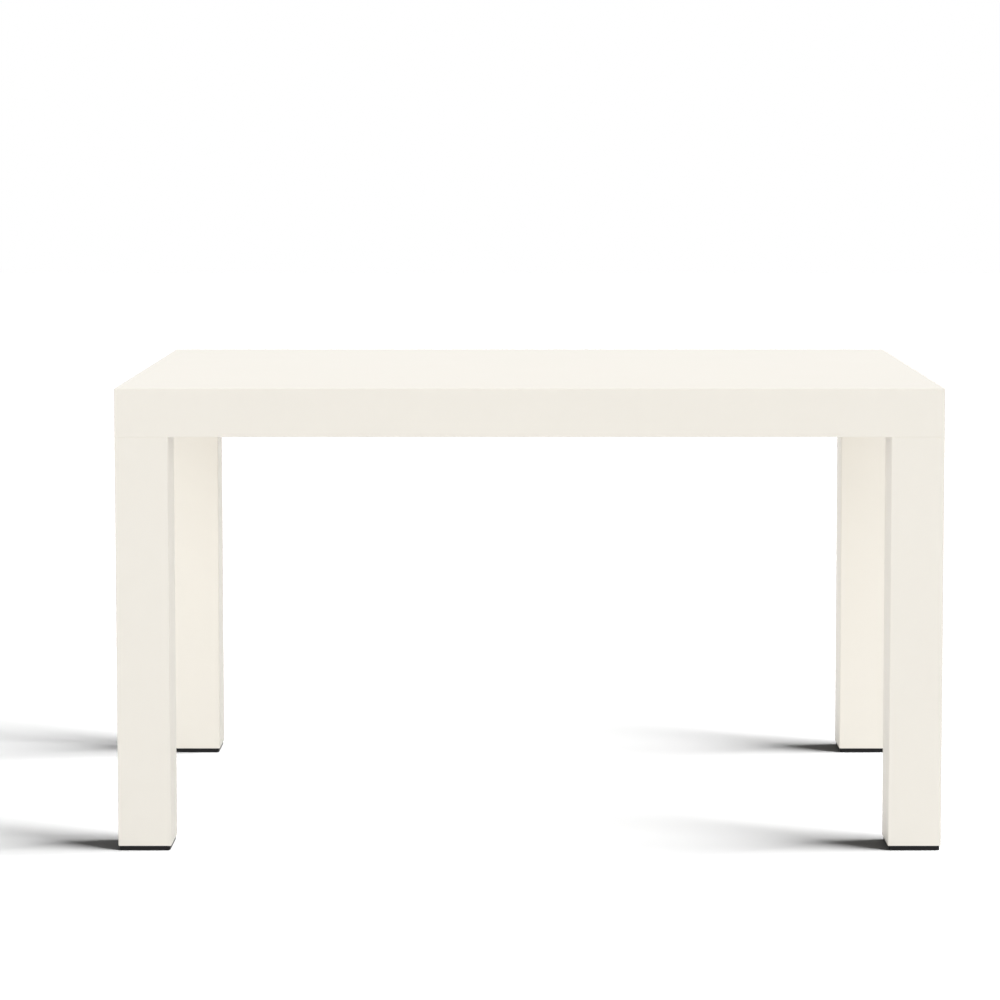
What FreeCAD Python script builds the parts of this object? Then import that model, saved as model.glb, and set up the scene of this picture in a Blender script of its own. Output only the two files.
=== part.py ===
import FreeCAD, Part
import os

import Sketcher

# Parsons dining table, in millimetres.
#
# Four square legs carry a slab top. The slab is one panel with its edges mitred and folded down into
# aprons, so it looks solid from every side. Each leg is four mitred boards glued round two blocks.
# The upper block, the post, stands up behind the aprons, where a pressed steel bracket and two
# hanger bolts pull it into the corner. Each leg ends in a black foot plate, and a levelling foot
# with a swivel pad is housed in the middle of the plate.
#
# The origin is on the floor below the middle of the table: +X to the right, +Z up, front at -Y.
# Each leg has a frame on its own axis, turned so that the leg's outer faces look along the frame's
# -X and -Y. What repeats at the corners is drawn once in that frame and placed four times.

DRIVING_SIZES = (
    # The table as a whole.
    ("table_length", 1350),
    ("table_width", 900),
    ("table_height", 762),
    # The slab: its board, the depth of its folded edge, and how its edges are rounded and eased.
    ("board_thickness", 22),
    ("slab_depth", 80),
    ("arris_radius", 2.5),
    ("end_ease", 0.5),
    # The legs.
    ("leg_side", 87),
    ("leg_board_thickness", 16),
    ("spigot_length", 120),
    ("post_chamfer", 20),
    ("base_block_height", 60),
    # The rails under the panel and the steel angles at their ends.
    ("rail_spacing", 440),
    ("rail_thickness", 22),
    ("rail_depth", 45),
    ("rail_screw_spacing", 300),
    ("angle_leg", 36),
    ("angle_width", 28),
    ("angle_thickness", 2),
    ("angle_bend", 2),
    ("angle_hole_setback", 12),
    ("angle_hole_spacing", 14),
    # The corner brackets.
    ("bracket_gap", 6),
    ("bracket_thickness", 2.5),
    ("bracket_height", 46),
    ("bracket_flange", 38),
    ("bracket_bend", 3),
    ("bracket_corner", 5),
    ("bracket_hole_setback", 14),
    ("bracket_hole_spacing", 26),
    # Hanger bolts with their nuts and washers.
    ("bolt_diameter", 8),
    ("bolt_length", 65),
    ("bolt_embedment", 45),
    ("bolt_spacing", 24),
    ("bolt_point", 5),
    ("bolt_end_ease", 1.2),
    ("bolt_play", 0.5),
    ("nut_flats", 13),
    ("nut_height", 6.5),
    ("washer_diameter", 22),
    ("washer_thickness", 1.6),
    # Wood screws: pan heads in the steel, long countersunk ones in the rails, short ones in the feet.
    ("pan_head", 8),
    ("pan_head_height", 2.6),
    ("pan_head_ease", 0.9),
    ("pan_shank", 4),
    ("pan_screw_length", 16),
    ("rail_screw_head", 9.5),
    ("rail_screw_shank", 5),
    ("rail_screw_length", 60),
    ("foot_screw_head", 7),
    ("foot_screw_shank", 3.5),
    ("foot_screw_length", 30),
    ("foot_screw_offset", 20),
    ("foot_screw_recess", 0.6),
    ("screw_point", 3),
    ("screw_play", 0.1),
    # The foot plates.
    ("foot_plate_thickness", 8),
    ("foot_plate_inset", 2),
    ("foot_plate_corner", 3),
    ("foot_plate_ease", 0.8),
    # The levelling feet: swivel pad, spindle and threaded insert.
    ("swivel_pad", 38),
    ("swivel_pad_thickness", 6),
    ("swivel_pad_skin", 1.4),
    ("swivel_pad_ease", 0.8),
    ("swivel_pad_play", 0.4),
    ("swivel_play", 0.3),
    ("key_hole", 7),
    ("key_flats", 5),
    ("key_depth", 4.5),
    ("spindle_diameter", 10),
    ("spindle_length", 38.3),
    ("spindle_point", 1.5),
    ("spindle_flange", 16),
    ("spindle_flange_thickness", 2),
    ("spindle_play", 0.8),
    ("spindle_headroom", 4),
    ("thread_play", 0.05),
    ("insert_diameter", 16),
    ("insert_length", 20),
    ("insert_flange", 20),
    ("insert_flange_thickness", 1.5),
)

# Heights and lengths that several pieces share, as expressions on the sheet.
PANEL_UNDERSIDE = "(sizes.table_height - sizes.board_thickness)"
APRON_BOTTOM = "(sizes.table_height - sizes.slab_depth)"
INNER_HALF_WIDTH = "(sizes.table_width / 2 - sizes.board_thickness)"
LEG_LENGTH = f"({APRON_BOTTOM} - sizes.foot_plate_thickness)"
LEG_HALF = "(sizes.leg_side / 2)"
CORE_HALF = f"({LEG_HALF} - sizes.leg_board_thickness)"
# From a leg's axis to the inner faces of the aprons, which the post's head stands against.
APRON_INNER = f"({LEG_HALF} - sizes.board_thickness)"
# The post's chamfer faces the middle of the table. Its centre is this far along both X and Y.
POST_FLAT = "((sizes.leg_side - sizes.post_chamfer) / 2)"
# The bracket's own Y runs from the leg's axis across the corner: its near face, its bends there,
# and where its flanges start along the aprons.
BRACKET_FACE = f"({POST_FLAT} * sqrt(2) + sizes.bracket_gap)"
BRACKET_BEND = f"({BRACKET_FACE} + {APRON_INNER} * sqrt(2))"
FLANGE_START = f"({BRACKET_FACE} * sqrt(2) + {APRON_INNER})"
BRACKET_MIDDLE = f"(({APRON_BOTTOM} + {PANEL_UNDERSIDE}) / 2)"
SPINDLE_RADIUS = "(sizes.spindle_diameter / 2)"
SPINDLE_SEAT = "(sizes.swivel_pad_skin + sizes.swivel_play)"
SPINDLE_TOP = f"({SPINDLE_SEAT} + sizes.spindle_length)"

# Directions for turns, and the turn in degrees from one side of the table to the next.
UPRIGHT = "0; 0; 1"
ALONG_X = "1; 0; 0"
ALONG_Y = "0; 1; 0"
ACROSS_CORNER = "-1; 1; 0"
QUARTER = 90
HALF = 180
FULL = 360

FACINGS = ("front", "right", "back", "left")
# Each corner: which way it lies from the middle along X and Y. They follow on by quarter turns.
CORNERS = {
    "front_left": (-1, -1),
    "front_right": (1, -1),
    "back_right": (1, 1),
    "back_left": (-1, 1),
}

# The indices by which a sketch's constraints know its own axes and origin, and a line's two ends.
X_AXIS_INDEX, Y_AXIS_INDEX = -1, -2
ORIGIN_INDICES = (-1, 1)
START_INDEX, END_INDEX = 1, 2

# Places and lengths that differ by less than this are the same.
SAME_PLACE = 1e-4

DOC = FreeCAD.newDocument("parsons_dining_table")
SHEET = DOC.addObject("Spreadsheet::Sheet", "sizes")
NODES = []


def fill_sheet():
    """Writes each driving size in the sheet, with its name beside it and as its alias."""
    for row, (alias, size) in enumerate(DRIVING_SIZES, start=1):
        SHEET.set(f"A{row}", alias)
        SHEET.set(f"B{row}", str(size))
        SHEET.setAlias(f"B{row}", alias)
    DOC.recompute()


# Placing and binding.


def bind(feature, **properties):
    """Binds a feature's properties to expressions."""
    for name, expression in properties.items():
        feature.setExpression(name, expression)
    return feature


def value(expression):
    """The number that an expression gives now."""
    return float(SHEET.evalExpression(expression))


def at(x="0", y="0", z="0", axis=UPRIGHT, turn="0"):
    """A placement, as an expression."""
    return f"placement(vector({x}; {y}; {z}); rotation(vector({axis}); {turn}))"


def coordinate_frame(name, placement):
    """Makes a named coordinate system, and gives the expression that places a piece in it."""
    bind(DOC.addObject("Part::LocalCoordinateSystem", name), Placement=placement)
    return f"{name}.Placement"


def node(feature, label, placement=None):
    """Labels a finished piece, places it and keeps it for export."""
    feature.Label = label
    if placement:
        bind(feature, Placement=placement)
    NODES.append(feature)


# Operations that many pieces share.


def outline(body, name, plane_role, corners, height="0"):
    """Draws a closed outline on one of the body's own planes, each corner bound to the sheet."""
    sketch = body.newObject("Sketcher::SketchObject", name)
    plane = next(p for p in body.Origin.OriginFeatures if p.Role == plane_role)
    sketch.AttachmentSupport = [(plane, "")]
    sketch.MapMode = "FlatFace"
    sketch.setExpression("AttachmentOffset.Base.z", height)
    points = [FreeCAD.Vector(value(x), value(y), 0) for x, y in corners]
    for start, end in zip(points, points[1:] + points[:1]):
        sketch.addGeometry(Part.LineSegment(start, end), False)
    for line, (corner, point) in enumerate(zip(corners, points)):
        before = (line - 1) % len(corners)
        sketch.addConstraint(
            Sketcher.Constraint("Coincident", before, END_INDEX, line, START_INDEX)
        )
        for kind, axis, expression, number in (
            ("DistanceX", Y_AXIS_INDEX, corner[0], point.x),
            ("DistanceY", X_AXIS_INDEX, corner[1], point.y),
        ):
            if expression == "0":
                on_axis = Sketcher.Constraint("PointOnObject", line, START_INDEX, axis)
                sketch.addConstraint(on_axis)
            else:
                distance = Sketcher.Constraint(kind, *ORIGIN_INDICES, line, START_INDEX, number)
                index = sketch.addConstraint(distance)
                sketch.setExpression(f"Constraints[{index}]", expression)
    return sketch


def rectangle(half_x, half_y):
    """The corners of a rectangle about the origin."""
    return [
        (f"-{half_x}", f"-{half_y}"),
        (half_x, f"-{half_y}"),
        (half_x, half_y),
        (f"-{half_x}", half_y),
    ]


def padded(body, name, sketch, length, midplane=False):
    """Pads an outline upwards, or half of the length each way."""
    pad = body.newObject("PartDesign::Pad", name)
    pad.Profile = sketch
    pad.Midplane = midplane
    bind(pad, Length=length)
    DOC.recompute()
    return pad


def on_edges(body, kind, name, base, test, **size):
    """Fillets or chamfers those edges of the base that pass a test."""
    feature = body.newObject(f"PartDesign::{kind}", name)
    edges = [f"Edge{i}" for i, edge in enumerate(base.Shape.Edges, start=1) if test(edge)]
    feature.Base = (base, edges)
    bind(feature, **size)
    DOC.recompute()
    return feature


def is_upright(edge):
    """True for an edge that runs straight up."""
    return edge.BoundBox.ZLength > edge.BoundBox.XLength + edge.BoundBox.YLength


def is_level(edge, height):
    """True for an edge that lies level at a height."""
    return (
        abs(edge.BoundBox.ZMin - height) < SAME_PLACE
        and abs(edge.BoundBox.ZMax - height) < SAME_PLACE
    )


def turned(name, corners):
    """A body turned about its upright axis, from an outline of radii and heights."""
    body = DOC.addObject("PartDesign::Body", name)
    sketch = outline(body, f"{name}_outline", "XZ_Plane", corners)
    turning = body.newObject("PartDesign::Revolution", f"{name}_turning")
    turning.Profile = sketch
    turning.ReferenceAxis = (sketch, ["V_Axis"])
    turning.Angle = FULL
    DOC.recompute()
    return body


def cylinder(name, radius, height, placement):
    """A cylinder that rises from a placement."""
    feature = DOC.addObject("Part::Cylinder", name)
    return bind(feature, Radius=radius, Height=height, Placement=placement)


def hexagon(name, flats, height, placement):
    """A hexagonal prism that rises from a placement, by its width across flats."""
    feature = DOC.addObject("Part::Prism", name)
    feature.Polygon = 6
    return bind(feature, Circumradius=f"{flats} / sqrt(3)", Height=height, Placement=placement)


def bore(diameter, play, depth, seat):
    """The space of a straight hole that runs down from a seat."""
    return cylinder("bore", f"{diameter} / 2 + {play}", depth, f"{seat} * {at(z=f'-({depth})')}")


def countersink(head, shank, seat):
    """The space of a screw's cone below a seat."""
    depth = f"({head} - {shank}) / 2"
    return bind(
        DOC.addObject("Part::Cone", "countersink"),
        Radius1=f"{shank} / 2 + sizes.screw_play",
        Radius2=f"{head} / 2 + sizes.screw_play",
        Height=depth,
        Placement=f"{seat} * {at(z=f'-({depth})')}",
    )


def joined(name, tools):
    """Several cutting shapes as one."""
    feature = DOC.addObject("Part::MultiFuse", name)
    feature.Shapes = tools
    return feature


def cut(name, solid, tool):
    """The solid less the tool."""
    feature = DOC.addObject("Part::Cut", name)
    feature.Base = solid
    feature.Tool = tool
    return feature


def within(name, solid, envelope):
    """What of the solid lies in the envelope."""
    feature = DOC.addObject("Part::Common", name)
    feature.Base = solid
    feature.Tool = envelope
    return feature


def group(label, master, seats):
    """Like fasteners as separate solids of one node, one at each seat."""
    fasteners = []
    for seat in seats:
        fastener = DOC.addObject("App::Link", f"{label}_fastener")
        fastener.LinkedObject = master
        fasteners.append(bind(fastener, Placement=seat))
    compound = DOC.addObject("Part::Compound", label)
    compound.Links = fasteners
    node(compound, label)


# Seats: where the fasteners go. A seat's Z points out of the work, along the fastener.


def in_frames(frames, seats):
    """The seats as they lie in each frame."""
    return [f"{frame} * {seat}" for frame in frames for seat in seats]


def raised(seats, distance):
    """The seats, moved out along their own axes."""
    return [f"{seat} * {at(z=distance)}" for seat in seats]


def either_side(spacing, middle="0"):
    """Two heights or places, half of a spacing below and above the middle."""
    return [f"{middle} - {spacing} / 2", f"{middle} + {spacing} / 2"]


def seats_on_x_wall(along, face, heights):
    """Seats on a wall that runs along X and looks along +Y."""
    return [at(x=along, y=face, z=z, axis=ALONG_X, turn=f"-{QUARTER}") for z in heights]


def seats_on_y_wall(along, face, heights):
    """Seats on a wall that runs along Y and looks along +X."""
    return [at(x=face, y=along, z=z, axis=ALONG_Y, turn=f"{QUARTER}") for z in heights]


def from_below(x="0", y="0", z="0"):
    """A seat that looks down."""
    return at(x=x, y=y, z=z, axis=ALONG_X, turn=f"{HALF}")


def flange_seats():
    """Seats of the bracket's screws in a leg's frame: on the flange along X, on the one along Y."""
    along = f"{FLANGE_START} + sizes.bracket_flange - sizes.bracket_hole_setback"
    face = f"sizes.bracket_thickness - {APRON_INNER}"
    heights = either_side("sizes.bracket_hole_spacing", BRACKET_MIDDLE)
    return seats_on_x_wall(along, face, heights), seats_on_y_wall(along, face, heights)


def angle_seats():
    """Seats of a rail angle's screws in the angle's frame, on its leg along X and the one along Y."""
    along = "sizes.angle_leg - sizes.angle_hole_setback"
    heights = either_side("sizes.angle_hole_spacing")
    return (
        seats_on_x_wall(along, "sizes.angle_thickness", heights),
        seats_on_y_wall(along, "sizes.angle_thickness", heights),
    )


def bolt_seats():
    """Seats of the hanger bolts in a leg's frame, on the post's chamfer."""
    return [
        at(x=POST_FLAT, y=POST_FLAT, z=z, axis=ACROSS_CORNER, turn=f"{QUARTER}")
        for z in either_side("sizes.bolt_spacing", BRACKET_MIDDLE)
    ]


def rail_screw_seats():
    """Seats of the long screws in a rail's frame, on the rail's underside."""
    places = ("-sizes.rail_screw_spacing", "0", "sizes.rail_screw_spacing")
    return [from_below(y=y, z="-sizes.rail_depth") for y in places]


def foot_screw_seats():
    """Seats of the foot plate's screws in a leg's frame, a little inside the plate."""
    offsets = ("-sizes.foot_screw_offset", "sizes.foot_screw_offset")
    return [from_below(x=x, y=y, z="sizes.foot_screw_recess") for x in offsets for y in offsets]


# Frames.


def make_leg_frames():
    """A frame on the axis of each leg, at the floor."""
    frames = {}
    for quarter, (corner, (to_x, to_y)) in enumerate(CORNERS.items()):
        place = at(
            x=f"{to_x} * (sizes.table_length / 2 - {LEG_HALF})",
            y=f"{to_y} * (sizes.table_width / 2 - {LEG_HALF})",
            turn=f"{quarter * QUARTER}",
        )
        frames[corner] = coordinate_frame(f"leg_{corner}", place)
    return frames


def make_rail_frames():
    """A frame at the middle of each rail's top. The right rail is the left one turned about."""
    beside = at(x="-sizes.rail_spacing / 2", z=PANEL_UNDERSIDE)
    return {
        "left": coordinate_frame("rail_left", beside),
        "right": coordinate_frame("rail_right", f"{at(turn=f'{HALF}')} * {beside}"),
    }


def rail_corners():
    """The corners between a rail's outer side and the aprons, in the rail's frame: near, far."""
    side = "-sizes.rail_thickness / 2"
    middle = "-sizes.rail_depth / 2"
    return (
        at(x=side, y=f"-{INNER_HALF_WIDTH}", z=middle, turn=f"{QUARTER}"),
        at(x=side, y=INNER_HALF_WIDTH, z=middle, turn=f"{HALF}"),
    )


def make_angle_frames(rail_frames):
    """A frame in the corner between each rail end and its apron, keyed by rail and table side."""
    near, far = rail_corners()
    return {
        ("left", "front"): f"{rail_frames['left']} * {near}",
        ("left", "back"): f"{rail_frames['left']} * {far}",
        ("right", "back"): f"{rail_frames['right']} * {near}",
        ("right", "front"): f"{rail_frames['right']} * {far}",
    }


# The slab.


def mitred_board(name, half_length, thickness, heights, inner_heights, placement):
    """A board whose outer face lies at y = 0. Its edges slope in at 45 degrees where they mitre."""
    return bind(
        DOC.addObject("Part::Wedge", name),
        Xmin=f"-{half_length}",
        Xmax=half_length,
        X2min=f"-({half_length} - {thickness})",
        X2max=f"{half_length} - {thickness}",
        Ymin="0",
        Ymax=thickness,
        Zmin=heights[0],
        Zmax=heights[1],
        Z2min=inner_heights[0],
        Z2max=inner_heights[1],
        Placement=placement,
    )


def build_slab_envelope():
    """The outer form of the slab: rounded corners and top arris, eased lower edge."""
    body = DOC.addObject("PartDesign::Body", "slab_envelope")
    corners = rectangle("(sizes.table_length / 2)", "(sizes.table_width / 2)")
    sketch = outline(body, "slab_outline", "XY_Plane", corners, APRON_BOTTOM)
    block = padded(body, "slab_block", sketch, "sizes.slab_depth")
    top = value("sizes.table_height")
    bottom = value(APRON_BOTTOM)
    rounded = on_edges(
        body,
        "Fillet",
        "slab_rounding",
        block,
        lambda edge: is_upright(edge) or is_level(edge, top),
        Radius="sizes.arris_radius",
    )
    on_edges(
        body,
        "Chamfer",
        "slab_easing",
        rounded,
        lambda edge: is_level(edge, bottom),
        Size="sizes.end_ease",
    )
    return body


def build_panel(envelope, rail_frames):
    """The top panel, mitred on all four edges, with pilot holes for the rails' screws."""
    blank = mitred_board(
        "panel_blank",
        "(sizes.table_length / 2)",
        "sizes.board_thickness",
        ("-sizes.table_width / 2", "sizes.table_width / 2"),
        (f"-{INNER_HALF_WIDTH}", INNER_HALF_WIDTH),
        at(z="sizes.table_height", axis=ALONG_X, turn=f"-{QUARTER}"),
    )
    panel = within("panel_rounded", blank, envelope)
    pilots = [
        bore("sizes.rail_screw_shank", "sizes.screw_play", "sizes.rail_screw_length", seat)
        for seat in in_frames(rail_frames.values(), rail_screw_seats())
    ]
    node(cut("top_panel", panel, joined("panel_pilots", pilots)), "top_panel")


def apron_screw_seats(leg_frames, angle_frames):
    """The screw seats on each apron, from the bracket flanges and the rail angles that meet it."""
    seats = {facing: [] for facing in FACINGS}
    flange_x, flange_y = flange_seats()
    for quarter, frame in enumerate(leg_frames.values()):
        seats[FACINGS[quarter]] += in_frames([frame], flange_x)
        seats[FACINGS[quarter - 1]] += in_frames([frame], flange_y)
    angle_x, angle_y = angle_seats()
    seats["front"] += in_frames([angle_frames["left", "front"]], angle_y)
    seats["back"] += in_frames([angle_frames["left", "back"]], angle_x)
    seats["back"] += in_frames([angle_frames["right", "back"]], angle_y)
    seats["front"] += in_frames([angle_frames["right", "front"]], angle_x)
    return seats


def build_aprons(envelope, leg_frames, angle_frames):
    """The four folded edges of the slab, mitred to the panel and to each other."""
    seats = apron_screw_seats(leg_frames, angle_frames)
    spans = ("(sizes.table_length / 2)", "(sizes.table_width / 2)")
    for quarter, facing in enumerate(FACINGS):
        along = spans[quarter % 2]
        across = spans[(quarter + 1) % 2]
        blank = mitred_board(
            f"apron_{facing}_blank",
            along,
            "sizes.board_thickness",
            ("0", "sizes.slab_depth"),
            ("0", "sizes.slab_depth - sizes.board_thickness"),
            f"{at(turn=f'{quarter * QUARTER}')} * {at(y=f'-{across}', z=APRON_BOTTOM)}",
        )
        apron = within(f"apron_{facing}_rounded", blank, envelope)
        pilots = [
            bore("sizes.pan_shank", "sizes.screw_play", "sizes.pan_screw_length", seat)
            for seat in seats[facing]
        ]
        drilled = cut(f"apron_{facing}", apron, joined(f"apron_{facing}_pilots", pilots))
        node(drilled, f"apron_{facing}")


# The rails.


def build_rails(rail_frames):
    """Two rails across the slab, glued and screwed to the panel's underside."""
    blank = bind(
        DOC.addObject("Part::Box", "rail_blank"),
        Length="sizes.rail_thickness",
        Width=f"2 * {INNER_HALF_WIDTH}",
        Height="sizes.rail_depth",
        Placement=at(
            x="-sizes.rail_thickness / 2", y=f"-{INNER_HALF_WIDTH}", z="-sizes.rail_depth"
        ),
    )
    holes = []
    for seat in rail_screw_seats():
        holes.append(bore("sizes.rail_screw_shank", "sizes.screw_play", "sizes.rail_depth", seat))
        holes.append(countersink("sizes.rail_screw_head", "sizes.rail_screw_shank", seat))
    near, far = rail_corners()
    angle_x, angle_y = angle_seats()
    for seat in in_frames([near], angle_x) + in_frames([far], angle_y):
        holes.append(bore("sizes.pan_shank", "sizes.screw_play", "sizes.pan_screw_length", seat))
    tool = joined("rail_holes", holes)
    for side, frame in rail_frames.items():
        node(cut(f"cross_rail_{side}", blank, tool), f"cross_rail_{side}", frame)


def build_rail_angles(angle_frames):
    """Bent steel angles, screwed to the rail and to the apron."""
    body = DOC.addObject("PartDesign::Body", "angle_blank")
    corners = [
        ("0", "0"),
        ("sizes.angle_leg", "0"),
        ("sizes.angle_leg", "sizes.angle_thickness"),
        ("sizes.angle_thickness", "sizes.angle_thickness"),
        ("sizes.angle_thickness", "sizes.angle_leg"),
        ("0", "sizes.angle_leg"),
    ]
    strip = padded(
        body,
        "angle_strip",
        outline(body, "angle_outline", "XY_Plane", corners),
        "sizes.angle_width",
        midplane=True,
    )
    heel = value("sizes.angle_thickness")
    outer = on_edges(
        body,
        "Fillet",
        "angle_outer_bend",
        strip,
        lambda edge: is_upright(edge) and edge.BoundBox.XMax < heel / 2 > edge.BoundBox.YMax,
        Radius="sizes.angle_bend + sizes.angle_thickness",
    )
    on_edges(
        body,
        "Fillet",
        "angle_inner_bend",
        outer,
        lambda edge: is_upright(edge)
        and abs(edge.BoundBox.XMax - heel) < SAME_PLACE
        and abs(edge.BoundBox.YMax - heel) < SAME_PLACE,
        Radius="sizes.angle_bend",
    )
    seats_x, seats_y = angle_seats()
    holes = [
        bore("sizes.pan_shank", "sizes.screw_play", "sizes.angle_thickness", seat)
        for seat in seats_x + seats_y
    ]
    tool = joined("angle_holes", holes)
    for (rail, facing), frame in angle_frames.items():
        node(cut(f"rail_angle_{rail}_{facing}", body, tool), f"rail_angle_{rail}_{facing}", frame)


# The legs.


def build_leg_envelope():
    """The outer form of a leg: four rounded arrises and eased ends."""
    body = DOC.addObject("PartDesign::Body", "leg_envelope")
    sketch = outline(
        body, "leg_outline", "XY_Plane", rectangle(LEG_HALF, LEG_HALF), "sizes.foot_plate_thickness"
    )
    shaft = padded(body, "leg_shaft", sketch, LEG_LENGTH)
    ends = (value("sizes.foot_plate_thickness"), value(APRON_BOTTOM))
    rounded = on_edges(
        body, "Fillet", "leg_rounding", shaft, is_upright, Radius="sizes.arris_radius"
    )
    on_edges(
        body,
        "Chamfer",
        "leg_easing",
        rounded,
        lambda edge: is_level(edge, ends[0]) or is_level(edge, ends[1]),
        Size="sizes.end_ease",
    )
    return body


def build_leg_boards(leg_frames):
    """Sixteen like boards, four to a leg, mitred along both long edges."""
    heights = ("0", LEG_LENGTH)
    blank = mitred_board(
        "leg_board_blank",
        LEG_HALF,
        "sizes.leg_board_thickness",
        heights,
        heights,
        at(y=f"-{LEG_HALF}", z="sizes.foot_plate_thickness"),
    )
    envelope = build_leg_envelope()
    for leg_quarter, (corner, frame) in enumerate(leg_frames.items()):
        for quarter in range(len(FACINGS)):
            facing = FACINGS[(leg_quarter + quarter) % len(FACINGS)]
            label = f"leg_{corner}_{facing}_board"
            turned_to = f"{frame} * {at(turn=f'{quarter * QUARTER}')}"
            node(within(label, blank, envelope), label, turned_to)


def build_post_blocks(leg_frames):
    """The block in the top of each leg: a spigot in the core, a head behind the aprons."""
    body = DOC.addObject("PartDesign::Body", "post_blank")
    spigot = outline(
        body,
        "spigot_outline",
        "XY_Plane",
        rectangle(CORE_HALF, CORE_HALF),
        f"{APRON_BOTTOM} - sizes.spigot_length",
    )
    padded(body, "spigot", spigot, "sizes.spigot_length")
    back = f"-{APRON_INNER}"
    corners = [(back, back), (LEG_HALF, back), (LEG_HALF, LEG_HALF), (back, LEG_HALF)]
    head_outline = outline(body, "head_outline", "XY_Plane", corners, APRON_BOTTOM)
    head = padded(body, "head", head_outline, f"{PANEL_UNDERSIDE} - {APRON_BOTTOM}")
    front = value(LEG_HALF) - SAME_PLACE
    on_edges(
        body,
        "Chamfer",
        "head_chamfer",
        head,
        lambda edge: is_upright(edge) and edge.BoundBox.XMin > front < edge.BoundBox.YMin,
        Size="sizes.post_chamfer",
    )
    holes = [
        bore("sizes.bolt_diameter", "sizes.screw_play", "sizes.bolt_embedment", seat)
        for seat in bolt_seats()
    ]
    tool = joined("post_holes", holes)
    for corner, frame in leg_frames.items():
        node(cut(f"post_block_{corner}", body, tool), f"post_block_{corner}", frame)


def build_base_blocks(leg_frames):
    """The block in the foot of each leg, bored for the insert and the spindle."""
    bottom = "sizes.foot_plate_thickness"
    blank = bind(
        DOC.addObject("Part::Box", "base_blank"),
        Length=f"2 * {CORE_HALF}",
        Width=f"2 * {CORE_HALF}",
        Height="sizes.base_block_height",
        Placement=at(x=f"-{CORE_HALF}", y=f"-{CORE_HALF}", z=bottom),
    )
    mouth = from_below(z=bottom)
    run = f"{SPINDLE_TOP} + sizes.spindle_headroom - {bottom}"
    holes = [
        bore("sizes.insert_flange", "sizes.screw_play", "sizes.insert_flange_thickness", mouth),
        bore("sizes.insert_diameter", "sizes.screw_play", "sizes.insert_length", mouth),
        bore("sizes.spindle_diameter", "sizes.spindle_play", run, mouth),
    ]
    for seat in foot_screw_seats():
        holes.append(bore("sizes.foot_screw_shank", "sizes.screw_play", "sizes.foot_screw_length", seat))
    tool = joined("base_holes", holes)
    for corner, frame in leg_frames.items():
        node(cut(f"base_block_{corner}", blank, tool), f"base_block_{corner}", frame)


# The corner brackets and their bolts.


def build_corner_brackets(leg_frames):
    """Pressed steel plates across the corners, with flanges bent back along both aprons."""
    body = DOC.addObject("PartDesign::Body", "bracket_blank")
    bind(body, Placement=at(z=BRACKET_MIDDLE, turn=f"-{QUARTER} / 2"))
    reach = "sizes.bracket_flange / sqrt(2)"
    skin = "sizes.bracket_thickness / sqrt(2)"
    tip = (f"({BRACKET_BEND} + {reach})", f"({BRACKET_FACE} + {reach})")
    inner_tip = (f"({tip[0]} - {skin})", f"({tip[1]} + {skin})")
    bend = (BRACKET_BEND, BRACKET_FACE)
    inner_bend = (
        f"({BRACKET_BEND} - sizes.bracket_thickness * (sqrt(2) - 1))",
        f"({BRACKET_FACE} + sizes.bracket_thickness)",
    )
    right_half = [bend, tip, inner_tip, inner_bend]
    left_half = [(f"-{x}", y) for x, y in reversed(right_half)]
    sketch = outline(body, "bracket_outline", "XY_Plane", right_half + left_half)
    strip = padded(body, "bracket_strip", sketch, "sizes.bracket_height", midplane=True)
    thickness = value("sizes.bracket_thickness")
    past_bend = value(BRACKET_BEND) + thickness
    cornered = on_edges(
        body,
        "Fillet",
        "bracket_corners",
        strip,
        lambda edge: not is_upright(edge) and abs(edge.Length - thickness) < SAME_PLACE,
        Radius="sizes.bracket_corner",
    )
    middle_of_plate = value(BRACKET_FACE) + thickness / 2
    outer = on_edges(
        body,
        "Fillet",
        "bracket_outer_bends",
        cornered,
        lambda edge: is_upright(edge)
        and abs(edge.BoundBox.Center.x) < past_bend
        and edge.BoundBox.YMax < middle_of_plate,
        Radius="sizes.bracket_bend + sizes.bracket_thickness",
    )
    on_edges(
        body,
        "Fillet",
        "bracket_inner_bends",
        outer,
        lambda edge: is_upright(edge)
        and abs(edge.BoundBox.Center.x) < past_bend
        and abs(edge.BoundBox.YMax - value(inner_bend[1])) < SAME_PLACE,
        Radius="sizes.bracket_bend",
    )
    flange_x, flange_y = flange_seats()
    holes = [
        bore("sizes.pan_shank", "sizes.screw_play", "sizes.bracket_thickness", seat)
        for seat in flange_x + flange_y
    ]
    outside = raised(bolt_seats(), "sizes.bracket_gap + sizes.bracket_thickness")
    for seat in outside:
        holes.append(bore("sizes.bolt_diameter", "sizes.bolt_play", "sizes.bracket_thickness", seat))
    tool = joined("bracket_holes", holes)
    for corner, frame in leg_frames.items():
        node(cut(f"corner_bracket_{corner}", body, tool), f"corner_bracket_{corner}", frame)


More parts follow.
